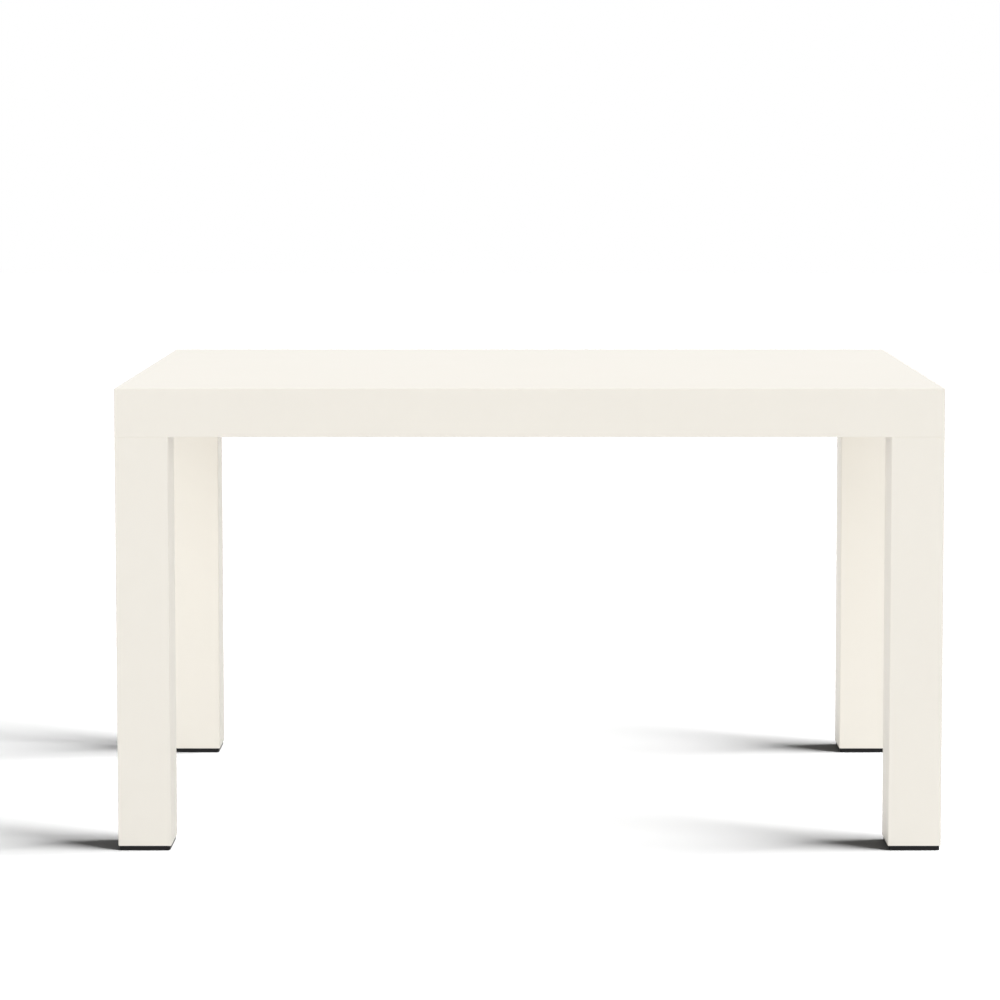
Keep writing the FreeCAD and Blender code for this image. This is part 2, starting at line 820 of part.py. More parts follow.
def build_bolts(leg_frames):
    """Two hanger bolts a corner, with their washers and nuts on the bracket."""
    frames = leg_frames.values()
    radius = "sizes.bolt_diameter / 2"
    free_end = "sizes.bolt_length - sizes.bolt_embedment"
    bolt = turned(
        "hanger_bolt",
        [
            ("0", "-sizes.bolt_embedment"),
            (radius, "-sizes.bolt_embedment + sizes.bolt_point"),
            (radius, f"{free_end} - sizes.bolt_end_ease"),
            (f"{radius} - sizes.bolt_end_ease", free_end),
            ("0", free_end),
        ],
    )
    group("hanger_bolts", bolt, in_frames(frames, bolt_seats()))
    on_bracket = raised(bolt_seats(), "sizes.bracket_gap + sizes.bracket_thickness")
    washer = cut(
        "hanger_washer",
        cylinder("washer_disc", "sizes.washer_diameter / 2", "sizes.washer_thickness", at()),
        cylinder("washer_hole", f"{radius} + sizes.screw_play", "sizes.washer_thickness", at()),
    )
    group("hanger_washers", washer, in_frames(frames, on_bracket))
    nut = cut(
        "hanger_nut",
        hexagon("nut_hexagon", "sizes.nut_flats", "sizes.nut_height", at()),
        cylinder("nut_hole", f"{radius} + sizes.screw_play", "sizes.nut_height", at()),
    )
    on_washer = raised(on_bracket, "sizes.washer_thickness")
    group("hanger_nuts", nut, in_frames(frames, on_washer))


# Screws.


def pan_head_screw(name):
    """A round-headed screw, seated at z = 0 with its shank below."""
    head = "sizes.pan_head / 2"
    shank = "sizes.pan_shank / 2"
    return turned(
        name,
        [
            ("0", "-sizes.pan_screw_length"),
            (shank, "-sizes.pan_screw_length + sizes.screw_point"),
            (shank, "0"),
            (head, "0"),
            (head, "sizes.pan_head_height - sizes.pan_head_ease"),
            (f"{head} - sizes.pan_head_ease", "sizes.pan_head_height"),
            ("0", "sizes.pan_head_height"),
        ],
    )


def countersunk_screw(name, head, shank, length):
    """A flat-headed screw whose head ends level with z = 0."""
    return turned(
        name,
        [
            ("0", f"-{length}"),
            (f"{shank} / 2", f"-{length} + sizes.screw_point"),
            (f"{shank} / 2", f"({shank} - {head}) / 2"),
            (f"{head} / 2", "0"),
            ("0", "0"),
        ],
    )


def build_screws(leg_frames, rail_frames, angle_frames):
    """Every screw of the table, in groups by what it holds."""
    pan = pan_head_screw("pan_head_screw")
    flange_x, flange_y = flange_seats()
    group("bracket_screws", pan, in_frames(leg_frames.values(), flange_x + flange_y))
    angle_x, angle_y = angle_seats()
    group("rail_angle_screws", pan, in_frames(angle_frames.values(), angle_x + angle_y))
    long_screw = countersunk_screw(
        "rail_screw", "sizes.rail_screw_head", "sizes.rail_screw_shank", "sizes.rail_screw_length"
    )
    group("rail_screws", long_screw, in_frames(rail_frames.values(), rail_screw_seats()))
    short_screw = countersunk_screw(
        "foot_screw", "sizes.foot_screw_head", "sizes.foot_screw_shank", "sizes.foot_screw_length"
    )
    group("foot_plate_screws", short_screw, in_frames(leg_frames.values(), foot_screw_seats()))


# The feet.


def build_foot_plates(leg_frames):
    """A thin black plate under each leg, set in from its faces and hollowed for the swivel pad."""
    half = f"({LEG_HALF} - sizes.foot_plate_inset)"
    body = DOC.addObject("PartDesign::Body", "foot_plate_blank")
    sketch = outline(body, "foot_plate_outline", "XY_Plane", rectangle(half, half))
    slab = padded(body, "foot_plate_slab", sketch, "sizes.foot_plate_thickness")
    rounded = on_edges(
        body, "Fillet", "foot_plate_corners", slab, is_upright, Radius="sizes.foot_plate_corner"
    )
    on_edges(
        body,
        "Chamfer",
        "foot_plate_easing",
        rounded,
        lambda edge: is_level(edge, 0),
        Size="sizes.foot_plate_ease",
    )
    sole = from_below()
    well = "sizes.swivel_pad_thickness + sizes.swivel_pad_play"
    holes = [
        bore("sizes.swivel_pad", "sizes.swivel_pad_play", well, sole),
        bore("sizes.spindle_diameter", "sizes.spindle_play", "sizes.foot_plate_thickness", sole),
    ]
    for seat in foot_screw_seats():
        under_head = f"{seat} * {at(z='sizes.foot_screw_recess')}"
        holes.append(
            bore("sizes.foot_screw_head", "sizes.screw_play", "sizes.foot_screw_recess", under_head)
        )
        holes.append(countersink("sizes.foot_screw_head", "sizes.foot_screw_shank", seat))
        holes.append(
            bore("sizes.foot_screw_shank", "sizes.screw_play", "sizes.foot_plate_thickness", seat)
        )
    tool = joined("foot_plate_holes", holes)
    for corner, frame in leg_frames.items():
        node(cut(f"foot_plate_{corner}", body, tool), f"foot_plate_{corner}", frame)


def build_foot_inserts(leg_frames):
    """Flanged threaded inserts, level with the undersides of the base blocks."""
    bore_radius = f"{SPINDLE_RADIUS} + sizes.thread_play"
    insert = turned(
        "foot_insert",
        [
            (bore_radius, "0"),
            ("sizes.insert_flange / 2", "0"),
            ("sizes.insert_flange / 2", "sizes.insert_flange_thickness"),
            ("sizes.insert_diameter / 2", "sizes.insert_flange_thickness"),
            ("sizes.insert_diameter / 2", "sizes.insert_length"),
            (bore_radius, "sizes.insert_length"),
        ],
    )
    group("foot_inserts", insert, in_frames(leg_frames.values(), [at(z="sizes.foot_plate_thickness")]))


def build_spindles(leg_frames):
    """The levelling screws: a flange that turns in the pad, and a key socket from below."""
    flange = "sizes.spindle_flange / 2"
    blank = turned(
        "spindle_blank",
        [
            ("0", "0"),
            (flange, "0"),
            (flange, "sizes.spindle_flange_thickness"),
            (SPINDLE_RADIUS, "sizes.spindle_flange_thickness"),
            (SPINDLE_RADIUS, "sizes.spindle_length - sizes.spindle_point"),
            (f"{SPINDLE_RADIUS} - sizes.spindle_point", "sizes.spindle_length"),
            ("0", "sizes.spindle_length"),
        ],
    )
    socket = hexagon("key_socket", "sizes.key_flats", "sizes.key_depth", at())
    for corner, frame in leg_frames.items():
        seat = f"{frame} * {at(z=SPINDLE_SEAT)}"
        node(cut(f"foot_spindle_{corner}", blank, socket), f"foot_spindle_{corner}", seat)


def build_swivel_pads(leg_frames):
    """Round pads clipped over the spindles' flanges, each with a hole for the key."""
    rim = "sizes.swivel_pad / 2"
    ease = "sizes.swivel_pad_ease"
    top = "sizes.swivel_pad_thickness"
    lip = f"{SPINDLE_RADIUS} + sizes.spindle_play"
    room = "sizes.spindle_flange / 2 + sizes.swivel_play"
    room_top = f"{SPINDLE_SEAT} + sizes.spindle_flange_thickness + sizes.swivel_play"
    profile = [
        ("sizes.key_hole / 2", "0"),
        (f"{rim} - {ease}", "0"),
        (rim, ease),
        (rim, f"{top} - {ease}"),
        (f"{rim} - {ease}", top),
        (lip, top),
        (lip, room_top),
        (room, room_top),
        (room, "sizes.swivel_pad_skin"),
        ("sizes.key_hole / 2", "sizes.swivel_pad_skin"),
    ]
    for corner, frame in leg_frames.items():
        node(turned(f"foot_pad_{corner}", profile), f"foot_pad_{corner}", frame)


# The whole.


def build_table():
    """Every piece of the table."""
    fill_sheet()
    leg_frames = make_leg_frames()
    rail_frames = make_rail_frames()
    angle_frames = make_angle_frames(rail_frames)
    DOC.recompute()
    envelope = build_slab_envelope()
    build_panel(envelope, rail_frames)
    build_aprons(envelope, leg_frames, angle_frames)
    build_rails(rail_frames)
    build_rail_angles(angle_frames)
    build_leg_boards(leg_frames)
    build_post_blocks(leg_frames)
    build_base_blocks(leg_frames)
    build_corner_brackets(leg_frames)
    build_bolts(leg_frames)
    build_screws(leg_frames, rail_frames, angle_frames)
    build_foot_plates(leg_frames)
    build_foot_inserts(leg_frames)
    build_spindles(leg_frames)
    build_swivel_pads(leg_frames)
    DOC.recompute()


def check_document():
    """Stops if any feature failed or any piece is not a valid solid."""
    for feature in DOC.Objects:
        if {"Invalid", "Error"} & set(feature.State):
            raise RuntimeError(f"{feature.Label} failed: {feature.State}")
    for piece in NODES:
        if piece.Shape.isNull() or not piece.Shape.isValid() or not piece.Shape.Solids:
            raise RuntimeError(f"{piece.Label} has no valid solid")


def write_parts():
    """Writes each piece to a STEP file of its own."""
    os.makedirs("parts", exist_ok=True)
    for piece in NODES:
        piece.Shape.exportStep(f"parts/{piece.Label}.step")
        print(f"{piece.Label}: {len(piece.Shape.Solids)} solids, {piece.Shape.Volume:.0f} mm3")


build_table()
check_document()
write_parts()
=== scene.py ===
"""Looks of a lacquered parsons table: its finishes, its threaded and recessed fixings, and a pale studio."""

import math

import bmesh
import bpy
import numpy as np
from mathutils import Matrix, Vector


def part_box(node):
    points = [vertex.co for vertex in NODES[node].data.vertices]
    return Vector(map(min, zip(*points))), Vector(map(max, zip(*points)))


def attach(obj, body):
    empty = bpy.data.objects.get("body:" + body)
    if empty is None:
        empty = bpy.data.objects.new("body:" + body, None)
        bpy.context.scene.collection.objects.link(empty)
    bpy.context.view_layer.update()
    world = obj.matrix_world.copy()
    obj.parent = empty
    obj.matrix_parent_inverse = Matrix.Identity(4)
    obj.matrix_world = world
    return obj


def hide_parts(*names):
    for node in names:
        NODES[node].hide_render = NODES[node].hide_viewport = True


bl_info = {
    "name": "Parsons Table Looks",
    "version": (1, 0, 0),
    "blender": (4, 5, 0),
    "location": "3D View > Sidebar > Parsons Table",
    "description": "Finishes, fixings and studio for a lacquered parsons dining table",
    "category": "Object",
}

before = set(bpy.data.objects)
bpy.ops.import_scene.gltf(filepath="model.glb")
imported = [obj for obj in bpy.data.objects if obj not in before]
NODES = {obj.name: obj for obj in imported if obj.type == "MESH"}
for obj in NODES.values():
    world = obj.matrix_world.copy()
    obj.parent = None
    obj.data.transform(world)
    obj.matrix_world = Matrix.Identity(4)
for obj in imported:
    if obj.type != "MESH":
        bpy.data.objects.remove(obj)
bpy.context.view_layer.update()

CORNERS = ("front_left", "front_right", "back_right", "back_left")
TABLE_BODY = "table"
Y, Z = Vector((0, 1, 0)), Vector((0, 0, 1))

# Vertices closer together than this are one vertex.
WELD = 1e-6
# Edges that turn by more than this stay crisp.
CRISP_ANGLE = math.radians(38)
# Vertices round a turned part, a machine thread and a wood thread.
ROUND_STEPS = 48
MACHINE_STEPS = 24
WOOD_STEPS = 16
# The bottom of a thread as a share of its outer radius, and the width of its top as a share of its pitch.
MACHINE_ROOT = 0.84
MACHINE_CREST = 0.15
WOOD_ROOT = 0.67
WOOD_CREST = 0.06
# The smooth neck of a screw as a share of its thread's radius, and its reach as a share of the screw.
NECK = 0.94
NECK_REACH = 0.24
# The width of a cross recess as a share of its screw's head.
RECESS = 0.58
# How far in from each face the middle of a small rounded edge lies, as a share of its radius.
ROUNDED = 0.3


# Sizes and colours that a user can change.


def length(name, description, default):
    """A length, in metres."""
    return bpy.props.FloatProperty(
        name=name, description=description, default=default, min=0, unit="LENGTH", precision=5
    )


def amount(name, description, default, unit="NONE"):
    """A strength, a power in watts or a lens in millimetres."""
    return bpy.props.FloatProperty(name=name, description=description, default=default, min=0, unit=unit)


def angle(name, description, degrees):
    """An angle, kept in radians."""
    return bpy.props.FloatProperty(
        name=name, description=description, default=math.radians(degrees), subtype="ANGLE"
    )


def colour(name, description, default):
    """A colour, in linear values."""
    return bpy.props.FloatVectorProperty(
        name=name, description=description, default=default, size=3, min=0, max=1, subtype="COLOR"
    )


class TableFinishes(bpy.types.PropertyGroup):
    """Colours of the table's finishes"""

    lacquer: colour("Lacquer", "Cream lacquer on every face that shows", (0.835, 0.800, 0.728))
    primer: colour("Primer", "Thin coat inside the slab", (0.76, 0.72, 0.63))
    fibre: colour("Fibre", "Board fibres that show through the primer", (0.34, 0.24, 0.14))
    early_wood: colour("Early wood", "Pale part of a growth ring", (0.70, 0.52, 0.32))
    late_wood: colour("Late wood", "Dark part of a growth ring", (0.52, 0.33, 0.16))
    zinc: colour("Zinc", "Bright zinc plate on the steel", (0.60, 0.61, 0.63))
    # Partly painted shade: the foot plates are black plastic, set darker than black plastic is so that they
    # also carry the shade where they stand on the floor.
    plastic: colour("Plastic", "Black moulded foot plates", (0.008, 0.008, 0.009))
    nylon: colour("Nylon", "Swivel pads", (0.035, 0.035, 0.038))


class FixingSizes(bpy.types.PropertyGroup):
    """Sizes of the screws, bolts, nuts and spindles"""

    pan_head: length("Pan head", "Width of a pan head", 0.008)
    pan_height: length("Pan head height", "Height of a pan head", 0.0026)
    pan_shank: length("Pan shank", "Thread diameter of a pan head screw", 0.004)
    pan_pitch: length("Pan pitch", "Pitch of a pan head screw's thread", 0.0018)
    rail_head: length("Rail screw head", "Width of a rail screw's countersunk head", 0.0095)
    rail_shank: length("Rail screw shank", "Thread diameter of a rail screw", 0.005)
    rail_pitch: length("Rail screw pitch", "Pitch of a rail screw's thread", 0.0022)
    foot_head: length("Foot screw head", "Width of a foot screw's countersunk head", 0.007)
    foot_shank: length("Foot screw shank", "Thread diameter of a foot screw", 0.0035)
    foot_pitch: length("Foot screw pitch", "Pitch of a foot screw's thread", 0.0016)
    point: length("Point", "Length of a wood screw's point", 0.003)
    bolt: length("Bolt", "Thread diameter of a hanger bolt", 0.008)
    bolt_in_wood: length("Bolt in wood", "Length of the wood thread", 0.045)
    bolt_wood_pitch: length("Bolt wood pitch", "Pitch of the wood thread", 0.0032)
    bolt_point: length("Bolt point", "Length of the bolt's point", 0.005)
    bolt_pitch: length("Bolt pitch", "Pitch of the machine thread", 0.00125)
    bolt_chamfer: length("Bolt chamfer", "Chamfer at the bolt's blunt end", 0.0012)
    nut_flats: length("Nut", "Width across flats", 0.013)
    spindle: length("Spindle", "Thread diameter of a foot spindle", 0.010)
    spindle_pitch: length("Spindle pitch", "Pitch of the spindle's thread", 0.0015)
    spindle_chamfer: length("Spindle chamfer", "Chamfer at the spindle's upper end", 0.0015)
    flange_width: length("Flange", "Width of the spindle's flange", 0.016)
    flange_height: length("Flange height", "Thickness of the spindle's flange", 0.002)
    key_flats: length("Key", "Hexagon socket across flats", 0.005)
    key_depth: length("Key depth", "Depth of the socket", 0.0045)


class StudioSettings(bpy.types.PropertyGroup):
    """Camera, floor and lights"""

    camera_distance: length("Distance", "Camera to the table's middle", 5.540)
    camera_height: length("Height", "Camera above the floor", 1.1844)
    camera_tilt: angle("Tilt", "How far the camera looks down", 4.414)
    camera_lens: amount("Lens", "Focal length on a 36 mm sensor", 113.3, unit="CAMERA")
    shift_x: bpy.props.FloatProperty(name="Shift X", description="Sideways lens shift", default=-0.0296)
    shift_y: bpy.props.FloatProperty(name="Shift Y", description="Upright lens shift", default=-0.13)
    floor_size: length("Floor width", "Width of the floor", 40.0)
    floor_drop: length("Floor drop", "Gap under the feet", 0.0002)
    floor_tone: colour("Floor tone", "Floor as the camera sees it", (0.10, 0.10, 0.10))
    floor_bounce: colour("Bounce tone", "Floor as its bounced light sees it", (0.078, 0.078, 0.078))
    floor_light: amount("Floor light", "Light that the floor receives from its lamps", 12.0)
    floor_light_height: angle("Floor light height", "How high the floor's lamps stand", 9)
    floor_light_side: angle("Floor light side", "Azimuth of the floor's middle lamp", 80)
    floor_light_spread: angle("Floor light spread", "Turn from each lamp to the next", 18)
    floor_light_width: angle("Floor light width", "Angular width of each lamp", 24)
    sky: amount("Surround", "Brightness all round", 0.78)
    top_light: amount("Top light", "Light from above", 0.31)
    right_light: amount("Right light", "Light from the front right", 0.077)
    left_light: amount("Left light", "Light from the front left", 0.057)
    top_light_height: angle("Top light height", "How high the light from above stands", 84)
    top_light_side: angle("Top light side", "Azimuth of the light from above", 20)
    top_light_width: angle("Top light width", "Angular width of the light from above", 70)
    front_light_height: angle("Front light height", "How high the front lamps stand", 8)
    front_light_side: angle("Front light side", "How far the front lamps stand aside", 40)
    front_light_width: angle("Front light width", "Angular width of the front lamps", 24)
    left_fill: amount("Left fill", "Lamp that lights the rear left leg", 0.90, unit="POWER")
    right_fill: amount("Right fill", "Lamp that lights the rear right leg", 0.58, unit="POWER")
    fill_width: length("Fill width", "Width of each lamp under the table", 0.25)
    fill_height: length("Fill height", "Height of each lamp under the table", 0.55)
    fill_gap: length("Fill gap", "From a front leg to the lamp behind it", 0.0275)


# Shader nodes.


def add_node(tree, kind, inputs=None, **settings):
    """Adds a node. Each named input takes a value, or the output of another node."""
    node = tree.nodes.new(kind)
    for name, value in settings.items():
        setattr(node, name, value)
    for name, value in (inputs or {}).items():
        if isinstance(value, bpy.types.NodeSocket):
            tree.links.new(value, node.inputs[name])
        else:
            node.inputs[name].default_value = value
    return node


def calculate(tree, operation, *values, clamp=False):
    """The output of one Math node."""
    inputs = dict(enumerate(values))
    return add_node(tree, "ShaderNodeMath", inputs, operation=operation, use_clamp=clamp).outputs[0]


def blended(tree, factor, first, second, blend_type="MIX"):
    """The output of a colour Mix node."""
    node = add_node(tree, "ShaderNodeMix", data_type="RGBA", blend_type=blend_type)
    for name, value in (("Factor_Float", factor), ("A_Color", first), ("B_Color", second)):
        socket = next(s for s in node.inputs if s.identifier == name)
        if isinstance(value, bpy.types.NodeSocket):
            tree.links.new(value, socket)
        else:
            socket.default_value = value
    return next(s for s in node.outputs if s.identifier == "Result_Color")


def opaque(rgb):
    """A colour with full alpha."""
    return (*rgb, 1.0)


def new_group(name, inputs, outputs):
    """A shader node group with its sockets, and its input and output nodes."""
    group = bpy.data.node_groups.new(name, "ShaderNodeTree")
    for socket, (kind, default) in inputs.items():
        made = group.interface.new_socket(socket, in_out="INPUT", socket_type=f"NodeSocket{kind}")
        if default is not None:
            made.default_value = default
    for socket, kind in outputs.items():
        group.interface.new_socket(socket, in_out="OUTPUT", socket_type=f"NodeSocket{kind}")
    return group, group.nodes.new("NodeGroupInput").outputs, group.nodes.new("NodeGroupOutput").inputs


def uneven_tone_group():
    """A colour that drifts a little lighter and darker over the surface."""
    group, given, result = new_group(
        "uneven_tone",
        {
            "Vector": ("Vector", None),
            "Colour": ("Color", (0.8, 0.8, 0.8, 1)),
            "Scale": ("Float", 5.0),
            "Amount": ("Float", 0.05),
        },
        {"Colour": "Color"},
    )
    noise = add_node(
        group, "ShaderNodeTexNoise", {"Vector": given["Vector"], "Scale": given["Scale"], "Detail": 4.0}
    )
    swing = calculate(group, "MULTIPLY_ADD", noise.outputs["Fac"], 2.0, -1.0)
    gain = calculate(group, "MULTIPLY_ADD", swing, given["Amount"], 1.0)
    scaled = add_node(
        group, "ShaderNodeVectorMath", {0: given["Colour"], "Scale": gain}, operation="SCALE"
    )
    group.links.new(scaled.outputs["Vector"], result["Colour"])
    return group


def fine_relief_group():
    """Small dimples, as in sprayed lacquer or moulded plastic, with a slower patchiness."""
    group, given, result = new_group(
        "fine_relief",
        {"Vector": ("Vector", None), "Scale": ("Float", 400.0), "Sharpness": ("Float", 0.5)},
        {"Height": "Float", "Patches": "Float"},
    )
    dimples = add_node(
        group,
        "ShaderNodeTexVoronoi",
        {"Vector": given["Vector"], "Scale": given["Scale"], "Smoothness": 1.0},
        feature="SMOOTH_F1",
    )
    ripple = add_node(
        group, "ShaderNodeTexNoise", {"Vector": given["Vector"], "Scale": given["Scale"], "Detail": 3.0}
    )
    height = add_node(
        group,
        "ShaderNodeMix",
        {"Factor": given["Sharpness"], "A": ripple.outputs["Fac"], "B": dimples.outputs["Distance"]},
        data_type="FLOAT",
    )
    slow_scale = calculate(group, "MULTIPLY", given["Scale"], 0.03)
    patches = add_node(
        group, "ShaderNodeTexNoise", {"Vector": given["Vector"], "Scale": slow_scale, "Detail": 5.0}
    )
    group.links.new(height.outputs["Result"], result["Height"])
    group.links.new(patches.outputs["Fac"], result["Patches"])
    return group


def soft_edge_group():
    """The normal rounded over at edges, and a mask of where the edges are."""
    group, given, result = new_group(
        "soft_edge", {"Width": ("Float", 0.001)}, {"Normal": "Vector", "Mask": "Float"}
    )
    rounded = add_node(group, "ShaderNodeBevel", {"Radius": given["Width"]}, samples=6)
    flat = add_node(group, "ShaderNodeNewGeometry")
    agreement = add_node(
        group,
        "ShaderNodeVectorMath",
        {0: rounded.outputs["Normal"], 1: flat.outputs["Normal"]},
        operation="DOT_PRODUCT",
    )
    turned_away = calculate(group, "SUBTRACT", 1.0, agreement.outputs["Value"])
    mask = calculate(group, "MULTIPLY", turned_away, 5.0, clamp=True)
    group.links.new(rounded.outputs["Normal"], result["Normal"])
    group.links.new(mask, result["Mask"])
    return group


def timber_group():
    """Sawn softwood with its grain along Z: growth rings, long fibres and pores."""
    group, given, result = new_group(
        "timber",
        {
            "Vector": ("Vector", None),
            "Early Wood": ("Color", (0.6, 0.4, 0.2, 1)),
            "Late Wood": ("Color", (0.3, 0.2, 0.1, 1)),
            "Ring Width": ("Float", 0.004),
        },
        {"Colour": "Color", "Height": "Float", "Roughness": "Float"},
    )
    drawn_out = add_node(
        group, "ShaderNodeVectorMath", {0: given["Vector"], 1: (1.0, 1.0, 0.05)}, operation="MULTIPLY"
    )
    waver = add_node(
        group, "ShaderNodeTexNoise", {"Vector": drawn_out.outputs[0], "Scale": 14.0, "Detail": 2.0}
    )
    wavering = add_node(
        group, "ShaderNodeVectorMath", {0: waver.outputs["Color"], "Scale": 0.012}, operation="SCALE"
    )
    bent = add_node(
        group,
        "ShaderNodeVectorMath",
        {0: drawn_out.outputs[0], 1: wavering.outputs[0]},
        operation="ADD",
    )
    flat = add_node(
        group, "ShaderNodeVectorMath", {0: bent.outputs[0], 1: (1.0, 1.0, 0.0)}, operation="MULTIPLY"
    )
    from_pith = add_node(group, "ShaderNodeVectorMath", {0: flat.outputs[0]}, operation="LENGTH")
    even_years = calculate(group, "DIVIDE", from_pith.outputs["Value"], given["Ring Width"])
    growth = add_node(
        group,
        "ShaderNodeTexNoise",
        {"W": from_pith.outputs["Value"], "Scale": 140.0, "Detail": 1.0},
        noise_dimensions="1D",
    )
    rings = calculate(group, "MULTIPLY_ADD", growth.outputs["Fac"], 1.3, even_years)
    phase = calculate(group, "FRACT", rings)
    late = add_node(
        group,
        "ShaderNodeMapRange",
        {"Value": phase, "From Min": 0.55, "From Max": 0.98},
        interpolation_type="SMOOTHSTEP",
    )
    fibres = add_node(
        group, "ShaderNodeVectorMath", {0: given["Vector"], 1: (1.0, 1.0, 0.02)}, operation="MULTIPLY"
    )
    streaks = add_node(
        group, "ShaderNodeTexNoise", {"Vector": fibres.outputs[0], "Scale": 1400.0, "Detail": 2.0}
    )
    wood = blended(group, late.outputs["Result"], given["Early Wood"], given["Late Wood"])
    streak_share = calculate(group, "MULTIPLY", streaks.outputs["Fac"], 0.35)
    streaked = blended(group, streak_share, wood, given["Late Wood"], "MULTIPLY")
    height = calculate(group, "MULTIPLY_ADD", late.outputs["Result"], 0.2, streaks.outputs["Fac"])
    roughness = add_node(
        group, "ShaderNodeMapRange", {"Value": streaks.outputs["Fac"], "To Min": 0.55, "To Max": 0.8}
    )
    group.links.new(streaked, result["Colour"])
    group.links.new(height, result["Height"])
    group.links.new(roughness.outputs["Result"], result["Roughness"])
    return group


def placed(tree, group, inputs):
    """The outputs of a group that is placed in a tree with its own values."""
    return add_node(tree, "ShaderNodeGroup", inputs, node_tree=group).outputs


def shared(name):
    """A shared node group, built the first time that it is asked for."""
    makers = {
        "uneven_tone": uneven_tone_group,
        "fine_relief": fine_relief_group,
        "soft_edge": soft_edge_group,
        "timber": timber_group,
    }
    return bpy.data.node_groups.get(name) or makers[name]()


def new_material(name, **fixed):
    """A material with one Principled BSDF. Values that are the same all over are set on its sockets."""
    material = bpy.data.materials.new(name)
    material.use_nodes = True
    tree = material.node_tree
    tree.nodes.clear()
    shader = add_node(tree, "ShaderNodeBsdfPrincipled")
    for socket, value in fixed.items():
        shader.inputs[socket.replace("_", " ")].default_value = value
    add_node(tree, "ShaderNodeOutputMaterial", {"Surface": shader.outputs["BSDF"]})
    place = add_node(tree, "ShaderNodeTexCoord").outputs["Object"]
    return material, tree, shader, place


def bumped(tree, shader, height, *, distance, normal=None):
    """Feeds a height through a Bump node to the shader."""
    inputs = {"Height": height, "Distance": distance}
    if normal:
        inputs["Normal"] = normal
    bump = add_node(tree, "ShaderNodeBump", inputs)
    tree.links.new(bump.outputs["Normal"], shader.inputs["Normal"])


def lacquer_material(finishes):
    """Cream satin lacquer outside, and a thin coat of primer with fibres showing inside the slab."""
    material, tree, shader, place = new_material("cream_lacquer", Specular_IOR_Level=0.4, Coat_Roughness=0.24)
    relief = placed(tree, shared("fine_relief"), {"Vector": place, "Scale": 420.0, "Sharpness": 0.35})
    film = placed(
        tree,
        shared("uneven_tone"),
        {"Vector": place, "Colour": opaque(finishes.lacquer), "Scale": 3.0, "Amount": 0.012},
    )
    inside = inside_slab_mask(tree, place)
    thin_coat = placed(
        tree,
        shared("uneven_tone"),
        {"Vector": place, "Colour": opaque(finishes.primer), "Scale": 22.0, "Amount": 0.10},
    )
    fibres = add_node(
        tree,
        "ShaderNodeTexNoise",
        {"Vector": place, "Scale": 1500.0, "Detail": 3.0, "Distortion": 1.5},
    )
    speckle = add_node(
        tree,
        "ShaderNodeMapRange",
        {"Value": fibres.outputs["Fac"], "From Min": 0.50, "From Max": 0.80, "To Max": 0.5},
    )
    primer = blended(tree, speckle.outputs["Result"], thin_coat["Colour"], opaque(finishes.fibre))
    tree.links.new(blended(tree, inside, film["Colour"], primer), shader.inputs["Base Color"])
    gloss = add_node(
        tree, "ShaderNodeMapRange", {"Value": relief["Patches"], "To Min": 0.44, "To Max": 0.54}
    )
    roughness = add_node(
        tree,
        "ShaderNodeMix",
        {"Factor": inside, "A": gloss.outputs["Result"], "B": 0.75},
        data_type="FLOAT",
    )
    tree.links.new(roughness.outputs["Result"], shader.inputs["Roughness"])
    outside = calculate(tree, "SUBTRACT", 1.0, inside)
    clear_coat = 0.10
    tree.links.new(calculate(tree, "MULTIPLY", outside, clear_coat), shader.inputs["Coat Weight"])
    bumped(tree, shader, relief["Height"], distance=0.00003)
    return material


def inside_slab_mask(tree, place):
    """White on the faces that look into the hollow of the slab."""
    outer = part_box("top_panel")[1]
    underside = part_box("apron_front")[0].z
    # Deeper than the rounded arrises, and well short of the boards' inner faces.
    skin = 0.004
    lip = 0.001
    axes = add_node(tree, "ShaderNodeSeparateXYZ", {"Vector": place}).outputs
    along = calculate(tree, "LESS_THAN", calculate(tree, "ABSOLUTE", axes["X"]), outer.x - skin)
    across = calculate(tree, "LESS_THAN", calculate(tree, "ABSOLUTE", axes["Y"]), outer.y - skin)
    above = calculate(tree, "GREATER_THAN", axes["Z"], underside + lip)
    below = calculate(tree, "LESS_THAN", axes["Z"], outer.z - skin)
    plan = calculate(tree, "MULTIPLY", along, across)
    return calculate(tree, "MULTIPLY", plan, calculate(tree, "MULTIPLY", above, below))


def timber_material(name, finishes, grain_along, pith):
    """Planed softwood, its grain along one axis of the table and its pith off to one side."""
    material, tree, shader, place = new_material(name, Specular_IOR_Level=0.35)
    turn = grain_along.rotation_difference(Z).to_euler()
    laid = add_node(
        tree,
        "ShaderNodeMapping",
        {"Vector": place, "Location": pith, "Rotation": tuple(turn)},
        vector_type="POINT",
    )
    wood = placed(
        tree,
        shared("timber"),
        {
            "Vector": laid.outputs["Vector"],
            "Early Wood": opaque(finishes.early_wood),
            "Late Wood": opaque(finishes.late_wood),
            "Ring Width": 0.0035,
        },
    )
    edge = placed(tree, shared("soft_edge"), {"Width": 0.0008})
    tone = placed(
        tree,
        shared("uneven_tone"),
        {"Vector": place, "Colour": wood["Colour"], "Scale": 9.0, "Amount": 0.12},
    )
    tree.links.new(tone["Colour"], shader.inputs["Base Color"])
    tree.links.new(wood["Roughness"], shader.inputs["Roughness"])
    bumped(tree, shader, wood["Height"], distance=0.00005, normal=edge["Normal"])
    return material


